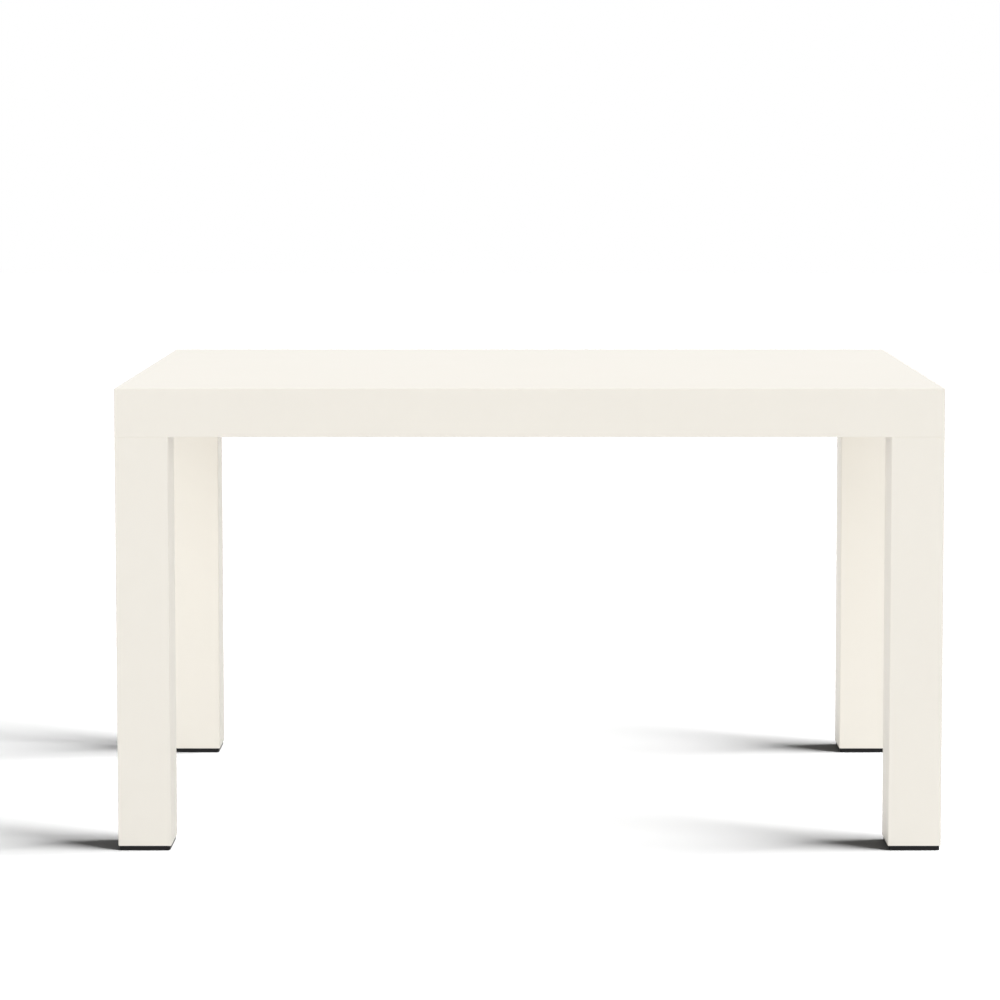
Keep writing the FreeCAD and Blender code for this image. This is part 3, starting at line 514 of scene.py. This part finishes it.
def zinc_material(finishes):
    """Bright zinc plate over rolled steel, a little dull and streaky, brighter at handled edges."""
    material, tree, shader, place = new_material("zinc_plate", Metallic=1.0)
    relief = placed(tree, shared("fine_relief"), {"Vector": place, "Scale": 900.0, "Sharpness": 0.2})
    edge = placed(tree, shared("soft_edge"), {"Width": 0.0005})
    tone = placed(
        tree,
        shared("uneven_tone"),
        {"Vector": place, "Colour": opaque(finishes.zinc), "Scale": 60.0, "Amount": 0.10},
    )
    # At an edge the plate is half way to its rubbed colour.
    rubbing = calculate(tree, "MULTIPLY", edge["Mask"], 0.5)
    rubbed = opaque([min(1.0, 1.35 * part) for part in finishes.zinc])
    tree.links.new(blended(tree, rubbing, tone["Colour"], rubbed), shader.inputs["Base Color"])
    dull = add_node(
        tree, "ShaderNodeMapRange", {"Value": relief["Patches"], "To Min": 0.22, "To Max": 0.5}
    )
    tree.links.new(dull.outputs["Result"], shader.inputs["Roughness"])
    bumped(tree, shader, relief["Height"], distance=0.00002, normal=edge["Normal"])
    return material


def zinc():
    """The zinc plate of all the steel, made once."""
    return bpy.data.materials.get("zinc_plate") or zinc_material(bpy.context.scene.parsons_finishes)


def moulded_material(name, base, roughness, grain, depth):
    """Moulded plastic with a fine grain, paler and smoother where its edges are rubbed."""
    material, tree, shader, place = new_material(name, Specular_IOR_Level=0.22)
    relief = placed(tree, shared("fine_relief"), {"Vector": place, "Scale": grain, "Sharpness": 0.8})
    edge = placed(tree, shared("soft_edge"), {"Width": 0.0006})
    tone = placed(
        tree,
        shared("uneven_tone"),
        {"Vector": place, "Colour": opaque(base), "Scale": 40.0, "Amount": 0.15},
    )
    # At an edge the plastic is half way to its rubbed colour.
    rubbing = calculate(tree, "MULTIPLY", edge["Mask"], 0.5)
    rubbed = opaque([min(1.0, 1.8 * part + 0.01) for part in base])
    tree.links.new(blended(tree, rubbing, tone["Colour"], rubbed), shader.inputs["Base Color"])
    varied = add_node(
        tree,
        "ShaderNodeMapRange",
        {"Value": relief["Patches"], "To Min": roughness - 0.06, "To Max": roughness + 0.08},
    )
    tree.links.new(varied.outputs["Result"], shader.inputs["Roughness"])
    bumped(tree, shader, relief["Height"], distance=depth, normal=edge["Normal"])
    return material


def dress(material, *names):
    """Gives CAD nodes a material, through their own slots."""
    for name in names:
        NODES[name].material_slots[0].material = material


def nodes_named(*starts):
    """The CAD nodes whose names begin in one of these ways."""
    return [name for name in sorted(NODES) if name.startswith(starts)]


# Seats of the fixings, read from the CAD solids.


def separate_solids(name):
    """The corners of each solid of a CAD node, in the table's frame."""
    mesh = bmesh.new()
    mesh.from_mesh(NODES[name].data)
    bmesh.ops.remove_doubles(mesh, verts=mesh.verts, dist=WELD)
    seen = set()
    solids = []
    for start in mesh.verts:
        if start in seen:
            continue
        seen.add(start)
        island = [start]
        for corner in island:
            for edge in corner.link_edges:
                other = edge.other_vert(corner)
                if other not in seen:
                    seen.add(other)
                    island.append(other)
        solids.append(np.array([corner.co for corner in island]))
    mesh.free()
    return solids


def facing(origin, axis):
    """A matrix that puts a piece's origin at a place and its Z along an axis."""
    return Matrix.Translation(origin) @ axis.to_track_quat("Z", "Y").to_matrix().to_4x4()


def pointed_seats(name):
    """A matrix at the blunt end of each of a node's screws, with Z pointing out, and their length."""
    places = []
    for corners in separate_solids(name):
        middle = corners.mean(axis=0)
        tip = corners[np.argmax(np.linalg.norm(corners - middle, axis=1))]
        reach = (corners - tip) @ (middle - tip)
        end = corners[reach > reach.max() - WELD].mean(axis=0)
        whole = Vector(end - tip)
        places.append(facing(Vector(end), whole.normalized()))
    return places, whole.length


def flat_seats(name):
    """A matrix in the middle of each nut or washer, with Z towards the table's middle, and their height."""
    places = []
    for corners in separate_solids(name):
        middle = corners.mean(axis=0)
        axis = np.linalg.eigh(np.cov((corners - middle).T))[1][:, 0]
        inwards = -middle * (1, 1, 0)
        axis = axis if axis @ inwards > 0 else -axis
        places.append(facing(Vector(middle), Vector(axis)))
        height = float(np.ptp((corners - middle) @ axis))
    return places, height


# Meshes.


def mesh_from(shape, name):
    """A mesh from a bmesh, smooth but for its crisp edges."""
    bmesh.ops.recalc_face_normals(shape, faces=shape.faces)
    mesh = bpy.data.meshes.new(name)
    shape.to_mesh(mesh)
    shape.free()
    mesh.shade_smooth()
    mesh.set_sharp_from_angle(angle=CRISP_ANGLE)
    return mesh


def turned(profile, steps=ROUND_STEPS):
    """A closed shape turned round Z from (radius, height) points. Points on the axis close its ends."""
    shape = bmesh.new()
    rings = []
    for radius, height in profile:
        if radius < WELD:
            rings.append([shape.verts.new((0, 0, height))] * steps)
            continue
        angles = (2 * math.pi * step / steps for step in range(steps))
        rings.append(
            [shape.verts.new((radius * math.cos(a), radius * math.sin(a), height)) for a in angles]
        )
    on_axis = profile[0][0] < WELD and profile[-1][0] < WELD
    pairs = list(zip(rings, rings[1:])) + ([] if on_axis else [(rings[-1], rings[0])])
    for first, second in pairs:
        for step in range(steps):
            after = (step + 1) % steps
            around = [first[step], first[after], second[after], second[step]]
            shape.faces.new(dict.fromkeys(around))
    return shape


def prism(outline, bottom, top, bottom_scale=1.0):
    """A closed prism over a flat outline, drawn in at its bottom by a scale."""
    shape = bmesh.new()
    low = [shape.verts.new((bottom_scale * x, bottom_scale * y, bottom)) for x, y in outline]
    high = [shape.verts.new((x, y, top)) for x, y in outline]
    shape.faces.new(reversed(low))
    shape.faces.new(high)
    for step in range(len(outline)):
        after = (step + 1) % len(outline)
        shape.faces.new((low[step], low[after], high[after], high[step]))
    return shape


def hexagon(flats):
    """Corners of a hexagon of a width across flats."""
    radius = flats / math.sqrt(3)
    return [
        (radius * math.cos(math.pi * step / 3), radius * math.sin(math.pi * step / 3)) for step in range(6)
    ]


def cross(span, thickness):
    """Corners of a plus sign."""
    far, near = span / 2, thickness / 2
    outline = []
    for quarter in range(4):
        c, s = ((1, 0), (0, 1), (-1, 0), (0, -1))[quarter]
        for x, y in ((near, far), (-near, far), (-near, near)):
            outline.append((c * x - s * y, s * x + c * y))
    return outline


def cross_bit(span, depth):
    """A cross-recess driver's tip, its end narrower than its top, standing a little above the origin."""
    blade = 0.27 * span
    proud = 0.0002
    return prism(cross(span, blade), -depth, proud, bottom_scale=0.35)


def thread(radius, root, pitch, bottom, top, limit, steps, crest):
    """A right-hand threaded rod as a closed shape. The limit holds its radius in at each height."""
    # Each turn has four rows: where a valley ends, where the crest starts and ends, and the next valley.
    valley = 0.2
    phases = (valley / 2, 0.5 - crest / 2, 0.5 + crest / 2, 1 - valley / 2)
    radii = (root * radius, radius, radius, root * radius)
    # Turns drawn past each end, where the end flattens them.
    spare = 2
    turns = math.ceil((top - bottom) / pitch) + 2 * spare
    shape = bmesh.new()
    columns = []
    for step in range(steps):
        around = 2 * math.pi * step / steps
        column = []
        for row in range(4 * turns):
            free = bottom + pitch * (row // 4 + phases[row % 4] + step / steps - spare)
            height = min(max(free, bottom), top)
            wide = min(radii[row % 4], limit(height))
            column.append(shape.verts.new((wide * math.cos(around), wide * math.sin(around), height)))
        columns.append(column)
    # One turn on, the first column is met four rows higher.
    columns.append(columns[0][4:])
    for first, second in zip(columns, columns[1:]):
        for row in range(len(second) - 1):
            corners = (first[row], second[row], second[row + 1], first[row + 1])
            if len({corner.co.z for corner in corners}) > 1:
                shape.faces.new(corners)
    loose = [corner for corner in shape.verts if not corner.link_faces]
    bmesh.ops.delete(shape, geom=loose, context="VERTS")
    bmesh.ops.remove_doubles(shape, verts=shape.verts, dist=WELD / 10)
    bmesh.ops.holes_fill(shape, edges=[edge for edge in shape.edges if edge.is_boundary], sides=0)
    return shape


def carved(blank, tool, operation):
    """One shape joined with, cut by or kept within another."""
    scene = bpy.context.scene
    objects = []
    for shape in (blank, tool):
        bmesh.ops.recalc_face_normals(shape, faces=shape.faces)
        mesh = bpy.data.meshes.new("carving")
        shape.to_mesh(mesh)
        shape.free()
        holder = bpy.data.objects.new("carving", mesh)
        scene.collection.objects.link(holder)
        objects.append(holder)
    carve = objects[0].modifiers.new("carve", "BOOLEAN")
    carve.operation = operation
    carve.solver = "EXACT"
    carve.object = objects[1]
    bpy.context.view_layer.update()
    result = bmesh.new()
    evaluated = objects[0].evaluated_get(bpy.context.evaluated_depsgraph_get())
    result.from_mesh(evaluated.to_mesh())
    evaluated.to_mesh_clear()
    for holder in objects:
        mesh = holder.data
        bpy.data.objects.remove(holder)
        bpy.data.meshes.remove(mesh)
    bmesh.ops.remove_doubles(result, verts=result.verts, dist=WELD)
    bmesh.ops.dissolve_degenerate(result, edges=result.edges, dist=WELD)
    return result


def set_in_place(name, node, body, mesh, places):
    """Copies a mesh to each place, as one zinc piece that stands in for a CAD node and rides on a body."""
    whole = bmesh.new()
    for place in places:
        start = len(whole.verts)
        whole.from_mesh(mesh)
        whole.verts.ensure_lookup_table()
        bmesh.ops.transform(whole, matrix=place, verts=whole.verts[start:])
    joined = mesh_from(whole, name)
    bpy.data.meshes.remove(mesh)
    joined.materials.append(zinc())
    piece = bpy.data.objects.new(name, joined)
    bpy.context.scene.collection.objects.link(piece)
    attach(piece, body)
    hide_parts(node)


class PARSONS_OT_lacquer(bpy.types.Operator):
    """Finish the slab and the legs in cream satin lacquer"""

    bl_idname = "parsons.lacquer"
    bl_label = "Lacquer the Boards"

    def execute(self, context):
        material = lacquer_material(context.scene.parsons_finishes)
        dress(material, *nodes_named("top_panel", "apron_", "leg_"))
        return {"FINISHED"}


class PARSONS_OT_timber(bpy.types.Operator):
    """Finish the rails and the blocks as planed softwood"""

    bl_idname = "parsons.timber"
    bl_label = "Finish the Timber"

    def execute(self, context):
        finishes = context.scene.parsons_finishes
        rails = timber_material("rail_timber", finishes, grain_along=Y, pith=(0.031, 0.62, 0.018))
        blocks = timber_material("block_timber", finishes, grain_along=Z, pith=(0.027, 0.041, 0.0))
        dress(rails, *nodes_named("cross_rail_"))
        dress(blocks, *nodes_named("post_block_", "base_block_"))
        return {"FINISHED"}


class PARSONS_OT_steel(bpy.types.Operator):
    """Finish the brackets, angles and fixings in bright zinc"""

    bl_idname = "parsons.steel"
    bl_label = "Plate the Steel"

    def execute(self, context):
        brackets = nodes_named("corner_bracket_", "rail_angle_")
        fixings = nodes_named("hanger_", "bracket_screws", "rail_screws", "foot_plate_screws")
        feet = nodes_named("foot_inserts", "foot_spindle_")
        dress(zinc(), *brackets, *fixings, *feet)
        return {"FINISHED"}


class PARSONS_OT_feet(bpy.types.Operator):
    """Finish the black foot plates and the swivel pads"""

    bl_idname = "parsons.feet"
    bl_label = "Finish the Feet"

    def execute(self, context):
        finishes = context.scene.parsons_finishes
        # The foot plates' near-black is their own black plastic plus painted shade at the floor.
        black = moulded_material(
            "black_plastic", finishes.plastic, roughness=0.48, grain=1500.0, depth=0.00004
        )
        nylon = moulded_material("nylon", finishes.nylon, roughness=0.38, grain=2600.0, depth=0.00001)
        dress(black, *(f"foot_plate_{corner}" for corner in CORNERS))
        dress(nylon, *(f"foot_pad_{corner}" for corner in CORNERS))
        return {"FINISHED"}


# The fixings.


def wood_thread(shank, bottom, top, point, pitch):
    """A wood screw's thread, tapered to its tip."""
    radius = shank / 2
    blunt = 0.0001

    def limit(height):
        return max(blunt, radius * min(1.0, (height - bottom) / point))

    return thread(radius, WOOD_ROOT, pitch, bottom, top, limit, WOOD_STEPS, WOOD_CREST)


def machine_thread(diameter, bottom, top, pitch, chamfer):
    """A machine thread, chamfered at its upper end."""
    radius = diameter / 2

    def limit(height):
        return radius - max(0.0, height - (top - chamfer))

    return thread(radius, MACHINE_ROOT, pitch, bottom, top, limit, MACHINE_STEPS, MACHINE_CREST)


def screw_below(head, shank, whole, point, pitch):
    """A wood screw's head and neck with its thread under them."""
    overlap = 0.02 * whole
    threaded = wood_thread(shank, -whole, overlap - NECK_REACH * whole, point, pitch)
    return carved(head, threaded, "UNION")


def pan_screw(sizes, whole):
    """A pan head wood screw with a cross recess. Its head's top is at the origin and it points down."""
    head, height, neck = sizes.pan_head / 2, sizes.pan_height, NECK * sizes.pan_shank / 2
    ease = 0.36 * height
    crown_radius = 0.55 * head
    dome = [
        (head - ease * (1 - math.cos(turn)), -ease * (1 - math.sin(turn)))
        for turn in (math.radians(15 * step) for step in range(7))
    ]
    foot = [(head, -height), (neck, -height), (neck, -NECK_REACH * whole), (0.0, -NECK_REACH * whole)]
    blank = turned([(0.0, 0.0), (crown_radius, 0.0)] + dome[::-1] + foot)
    bit = cross_bit(RECESS * sizes.pan_head, depth=0.72 * height)
    headed = carved(blank, bit, "DIFFERENCE")
    return mesh_from(screw_below(headed, sizes.pan_shank, whole, sizes.point, sizes.pan_pitch), "pan_screw")


def countersunk_screw(width, shank, whole, point, pitch):
    """A countersunk wood screw with a cross recess. Its head's top is at the origin and it points down."""
    head, neck, rim = width / 2, NECK * shank / 2, 0.0003
    cone, arris = head - neck, rim / 3
    profile = [
        (0.0, 0.0),
        (head - arris, 0.0),
        (head, -arris),
        (head, -rim),
        (neck, -rim - cone),
        (neck, -NECK_REACH * whole),
        (0.0, -NECK_REACH * whole),
    ]
    bit = cross_bit(RECESS * width, depth=0.85 * cone)
    headed = carved(turned(profile), bit, "DIFFERENCE")
    return mesh_from(screw_below(headed, shank, whole, point, pitch), "countersunk_screw")


def hanger_bolt(sizes, whole):
    """A hanger bolt: a machine thread at its blunt end, a plain waist, and a wood thread down to its tip."""
    shoulder = sizes.bolt_in_wood - whole
    waist_radius = 0.9 * sizes.bolt / 2
    above, below, lap = 0.002, 0.006, 0.001
    waist_top, waist_bottom = shoulder + above, shoulder - below
    waist = turned(
        [(0.0, waist_top), (waist_radius, waist_top), (waist_radius, waist_bottom), (0.0, waist_bottom)]
    )
    machine = machine_thread(sizes.bolt, waist_top - lap, 0.0, sizes.bolt_pitch, sizes.bolt_chamfer)
    wood = wood_thread(sizes.bolt, -whole, waist_bottom + lap, sizes.bolt_point, sizes.bolt_wood_pitch)
    return mesh_from(carved(carved(waist, machine, "UNION"), wood, "UNION"), "hanger_bolt")


def hexagon_nut(sizes, height):
    """A hexagon nut, its corners chamfered at both faces, with a countersunk bore."""
    flats, bore = sizes.nut_flats, sizes.bolt / 2
    # The chamfer runs from the rim of each round face to a radius beyond the corners.
    face, beyond, slope = 0.475 * flats, 0.62 * flats, math.radians(30)
    drop = (beyond - face) * math.tan(slope)
    half = height / 2
    bounds = turned(
        [(0.0, -half), (face, -half), (beyond, drop - half), (beyond, half - drop), (face, half), (0.0, half)]
    )
    blank = carved(prism(hexagon(flats), -half, half), bounds, "INTERSECT")
    mouth = 0.0006
    drill = turned(
        [
            (0.0, -half - mouth),
            (bore + 2 * mouth, -half - mouth),
            (bore, mouth - half),
            (bore, half - mouth),
            (bore + 2 * mouth, half + mouth),
            (0.0, half + mouth),
        ]
    )
    return mesh_from(carved(blank, drill, "DIFFERENCE"), "hexagon_nut")


def flat_washer(sizes, node, height):
    """A punched flat washer with a rolled upper edge, as wide as the CAD node's."""
    corners = separate_solids(node)[0]
    middle = corners.mean(axis=0)
    outer = float(np.linalg.norm(corners - middle, axis=1).max())
    outer = math.sqrt(outer**2 - (height / 2) ** 2)
    play = 0.0002
    inner = sizes.bolt / 2 + play
    half, roll = height / 2, 0.3 * height
    arris, eased = roll / 3, ROUNDED * roll
    profile = [
        (inner, -half),
        (outer - arris, -half),
        (outer, arris - half),
        (outer, half - roll),
        (outer - eased, half - eased),
        (outer - roll, half),
        (inner + roll, half),
        (inner + eased, half - eased),
        (inner, half - roll),
    ]
    return mesh_from(turned(profile), "flat_washer")


def foot_spindle(sizes, height):
    """A levelling spindle: a rounded flange with a hexagon socket, and a machine thread up from it."""
    flange, thick = sizes.flange_width / 2, sizes.flange_height
    radius, lap, proud = 0.0004, 0.0003, 0.001
    eased = ROUNDED * radius
    disc = turned(
        [
            (0.0, 0.0),
            (flange - radius, 0.0),
            (flange - eased, eased),
            (flange, radius),
            (flange, thick - radius),
            (flange - eased, thick - eased),
            (flange - radius, thick),
            (0.0, thick),
        ]
    )
    rod = machine_thread(sizes.spindle, thick - lap, height, sizes.spindle_pitch, sizes.spindle_chamfer)
    blank = carved(disc, rod, "UNION")
    key = prism(hexagon(sizes.key_flats), -proud, sizes.key_depth)
    return mesh_from(carved(blank, key, "DIFFERENCE"), "foot_spindle")


class PARSONS_OT_bolts(bpy.types.Operator):
    """Thread the hanger bolts and shape their nuts and washers"""

    bl_idname = "parsons.bolts"
    bl_label = "Make the Corner Bolts"

    def execute(self, context):
        sizes = context.scene.parsons_fixings
        places, whole = pointed_seats("hanger_bolts")
        mesh = hanger_bolt(sizes, whole)
        set_in_place("threaded_hanger_bolts", "hanger_bolts", TABLE_BODY, mesh, places)
        places, height = flat_seats("hanger_nuts")
        mesh = hexagon_nut(sizes, height)
        set_in_place("chamfered_nuts", "hanger_nuts", TABLE_BODY, mesh, places)
        places, height = flat_seats("hanger_washers")
        mesh = flat_washer(sizes, "hanger_washers", height)
        set_in_place("rolled_washers", "hanger_washers", TABLE_BODY, mesh, places)
        return {"FINISHED"}


class PARSONS_OT_screws(bpy.types.Operator):
    """Thread and recess the wood screws"""

    bl_idname = "parsons.screws"
    bl_label = "Make the Wood Screws"

    def execute(self, context):
        sizes = context.scene.parsons_fixings
        for node in ("bracket_screws", "rail_angle_screws"):
            places, whole = pointed_seats(node)
            set_in_place(f"recessed_{node}", node, TABLE_BODY, pan_screw(sizes, whole), places)
        sunk = (
            ("rail_screws", sizes.rail_head, sizes.rail_shank, sizes.rail_pitch),
            ("foot_plate_screws", sizes.foot_head, sizes.foot_shank, sizes.foot_pitch),
        )
        for node, head, shank, pitch in sunk:
            places, whole = pointed_seats(node)
            mesh = countersunk_screw(head, shank, whole, sizes.point, pitch)
            set_in_place(f"recessed_{node}", node, TABLE_BODY, mesh, places)
        return {"FINISHED"}


class PARSONS_OT_spindles(bpy.types.Operator):
    """Thread the levelling spindles"""

    bl_idname = "parsons.spindles"
    bl_label = "Make the Foot Spindles"

    def execute(self, context):
        for corner in CORNERS:
            node = f"foot_spindle_{corner}"
            low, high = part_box(node)
            seat = Vector(((low.x + high.x) / 2, (low.y + high.y) / 2, low.z))
            mesh = foot_spindle(context.scene.parsons_fixings, high.z - low.z)
            places = [Matrix.Translation(seat)]
            set_in_place(f"threaded_spindle_{corner}", node, f"spindle_{corner}", mesh, places)
        return {"FINISHED"}


# The studio.


def floor_material(studio):
    """A pale floor that keeps the table's shadow. Its bounced light is held to a white floor's.

    Seen from below it is clear, and so it is for light that leaves the soles of the feet just above it.
    """
    material = bpy.data.materials.new("studio_floor")
    material.use_nodes = True
    tree = material.node_tree
    tree.nodes.clear()
    place = add_node(tree, "ShaderNodeTexCoord").outputs["Object"]
    seen = placed(
        tree,
        shared("uneven_tone"),
        {"Vector": place, "Colour": opaque(studio.floor_tone), "Scale": 0.7, "Amount": 0.01},
    )
    path = add_node(tree, "ShaderNodeLightPath")
    tone = blended(
        tree, path.outputs["Is Camera Ray"], opaque(studio.floor_bounce), seen["Colour"]
    )
    diffuse = add_node(tree, "ShaderNodeBsdfDiffuse", {"Color": tone})
    clear = add_node(tree, "ShaderNodeBsdfTransparent")
    below = add_node(tree, "ShaderNodeNewGeometry").outputs["Backfacing"]
    at_soles = calculate(tree, "LESS_THAN", path.outputs["Ray Length"], 5 * studio.floor_drop)
    seen_through = calculate(tree, "MAXIMUM", below, at_soles)
    surface = add_node(
        tree, "ShaderNodeMixShader", {0: seen_through, 1: diffuse.outputs["BSDF"], 2: clear.outputs["BSDF"]}
    )
    add_node(tree, "ShaderNodeOutputMaterial", {"Surface": surface.outputs["Shader"]})
    return material


def make_floor(studio):
    """A large plain floor just under the feet."""
    half = studio.floor_size / 2
    mesh = bpy.data.meshes.new("studio_floor")
    corners = [(-half, -half, 0), (half, -half, 0), (half, half, 0), (-half, half, 0)]
    mesh.from_pydata(corners, [], [(0, 1, 2, 3)])
    mesh.materials.append(floor_material(studio))
    floor = bpy.data.objects.new("studio_floor", mesh)
    floor.location.z = -studio.floor_drop
    bpy.context.scene.collection.objects.link(floor)
    return floor


def add_sun(name, elevation, azimuth, width, light, receivers):
    """A distant lamp that casts light but no glare. Azimuth 0 is in front, 90 degrees on the right."""
    lamp = bpy.data.lights.new(name, "SUN")
    lamp.angle = width
    # A sun of strength pi lights a white surface that faces it to 1.
    lamp.energy = light * math.pi
    holder = bpy.data.objects.new(name, lamp)
    towards = Vector(
        (
            math.cos(elevation) * math.sin(azimuth),
            -math.cos(elevation) * math.cos(azimuth),
            math.sin(elevation),
        )
    )
    holder.rotation_euler = towards.to_track_quat("Z", "Y").to_euler()
    holder.visible_glossy = False
    holder.light_linking.receiver_collection = receivers
    bpy.context.scene.collection.objects.link(holder)


def light_floor(studio, floor):
    """A fan of low lamps on the right that only the floor receives, so each leg throws its shadow left."""
    receivers = bpy.data.collections.new("floor_only")
    receivers.objects.link(floor)
    turns = (-1, 0, 1)
    each = studio.floor_light / math.sin(studio.floor_light_height) / len(turns)
    for turn in turns:
        azimuth = studio.floor_light_side + turn * studio.floor_light_spread
        add_sun(
            "floor_lamp", studio.floor_light_height, azimuth, studio.floor_light_width, each, receivers
        )


def add_fill(studio, leg, power, receivers):
    """A weak upright lamp behind a front leg, shining back on the rear leg."""
    low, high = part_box(f"{leg}_back_board")
    lamp = bpy.data.lights.new("fill_lamp", "AREA")
    lamp.shape = "RECTANGLE"
    lamp.size = studio.fill_width
    lamp.size_y = studio.fill_height
    lamp.energy = power
    holder = bpy.data.objects.new("fill_lamp", lamp)
    holder.location = ((low.x + high.x) / 2, high.y + studio.fill_gap, (low.z + high.z) / 2)
    holder.rotation_euler = Y.to_track_quat("-Z", "Z").to_euler()
    holder.visible_camera = False
    holder.visible_glossy = False
    holder.light_linking.receiver_collection = receivers
    bpy.context.scene.collection.objects.link(holder)


def light_table(studio, floor):
    """Lamps that the floor doesn't receive: one overhead, two low in front and two weak ones behind legs."""
    receivers = bpy.data.collections.new("all_but_floor")
    receivers.objects.link(floor)
    receivers.collection_objects[0].light_linking.link_state = "EXCLUDE"
    above, aside = studio.top_light_height, studio.top_light_side
    add_sun("top_lamp", above, aside, studio.top_light_width, studio.top_light, receivers)
    for name, side, light in (("right_lamp", 1, studio.right_light), ("left_lamp", -1, studio.left_light)):
        aside = side * studio.front_light_side
        add_sun(name, studio.front_light_height, aside, studio.front_light_width, light, receivers)
    add_fill(studio, "leg_front_left", studio.left_fill, receivers)
    add_fill(studio, "leg_front_right", studio.right_fill, receivers)


def make_surround(studio):
    """An even pale surround, which the camera and reflections see as white."""
    world = bpy.data.worlds.new("studio")
    world.use_nodes = True
    tree = world.node_tree
    tree.nodes.clear()
    path = add_node(tree, "ShaderNodeLightPath")
    mirrored = calculate(tree, "MAXIMUM", path.outputs["Is Glossy Ray"], path.outputs["Is Transmission Ray"])
    white = calculate(tree, "MAXIMUM", path.outputs["Is Camera Ray"], mirrored)
    strength = add_node(
        tree, "ShaderNodeMix", {"Factor": white, "A": studio.sky, "B": 1.0}, data_type="FLOAT"
    )
    background = add_node(
        tree,
        "ShaderNodeBackground",
        {"Color": (1.0, 1.0, 1.0, 1.0), "Strength": strength.outputs["Result"]},
    )
    add_node(tree, "ShaderNodeOutputWorld", {"Surface": background.outputs["Background"]})
    bpy.context.scene.world = world


def make_camera(studio):
    """A long lens in front of the table, a little above the top."""
    camera = bpy.data.cameras.new("camera")
    camera.lens = studio.camera_lens
    camera.sensor_width = 36
    camera.shift_x = studio.shift_x
    camera.shift_y = studio.shift_y
    camera.clip_end = 2 * studio.floor_size
    holder = bpy.data.objects.new("camera", camera)
    holder.location = (0, -studio.camera_distance, studio.camera_height)
    holder.rotation_euler = (math.pi / 2 - studio.camera_tilt, 0, 0)
    bpy.context.scene.collection.objects.link(holder)
    bpy.context.scene.camera = holder


class PARSONS_OT_studio(bpy.types.Operator):
    """Set up the floor, the surround, the lamps and the camera"""

    bl_idname = "parsons.studio"
    bl_label = "Set Up the Studio"

    def execute(self, context):
        studio = context.scene.parsons_studio
        floor = make_floor(studio)
        light_floor(studio, floor)
        light_table(studio, floor)
        make_surround(studio)
        make_camera(studio)
        context.scene.view_settings.view_transform = "Standard"
        return {"FINISHED"}


class PARSONS_PT_panel(bpy.types.Panel):
    """The table's pieces, sizes and colours"""

    bl_idname = "PARSONS_PT_panel"
    bl_label = "Parsons Table"
    bl_space_type = "VIEW_3D"
    bl_region_type = "UI"
    bl_category = "Parsons Table"

    def draw(self, context):
        for operator in OPERATORS:
            self.layout.operator(operator.bl_idname)
        scene = context.scene
        for settings in (scene.parsons_finishes, scene.parsons_fixings, scene.parsons_studio):
            box = self.layout.box()
            for name in settings.bl_rna.properties.keys():
                if name not in ("rna_type", "name"):
                    box.prop(settings, name)


OPERATORS = (
    PARSONS_OT_lacquer,
    PARSONS_OT_timber,
    PARSONS_OT_steel,
    PARSONS_OT_feet,
    PARSONS_OT_bolts,
    PARSONS_OT_screws,
    PARSONS_OT_spindles,
    PARSONS_OT_studio,
)
CLASSES = (TableFinishes, FixingSizes, StudioSettings, *OPERATORS, PARSONS_PT_panel)


def register():
    """Adds the classes and the scene's settings."""
    for made in CLASSES:
        bpy.utils.register_class(made)
    bpy.types.Scene.parsons_finishes = bpy.props.PointerProperty(type=TableFinishes)
    bpy.types.Scene.parsons_fixings = bpy.props.PointerProperty(type=FixingSizes)
    bpy.types.Scene.parsons_studio = bpy.props.PointerProperty(type=StudioSettings)


def unregister():
    """Takes them away again."""
    del bpy.types.Scene.parsons_studio
    del bpy.types.Scene.parsons_fixings
    del bpy.types.Scene.parsons_finishes
    for made in reversed(CLASSES):
        bpy.utils.unregister_class(made)


def main():
    """Builds the looks piece by piece."""
    register()
    for operator in OPERATORS:
        group, name = operator.bl_idname.split(".")
        getattr(getattr(bpy.ops, group), name)()


if __name__ == "__main__":
    main()
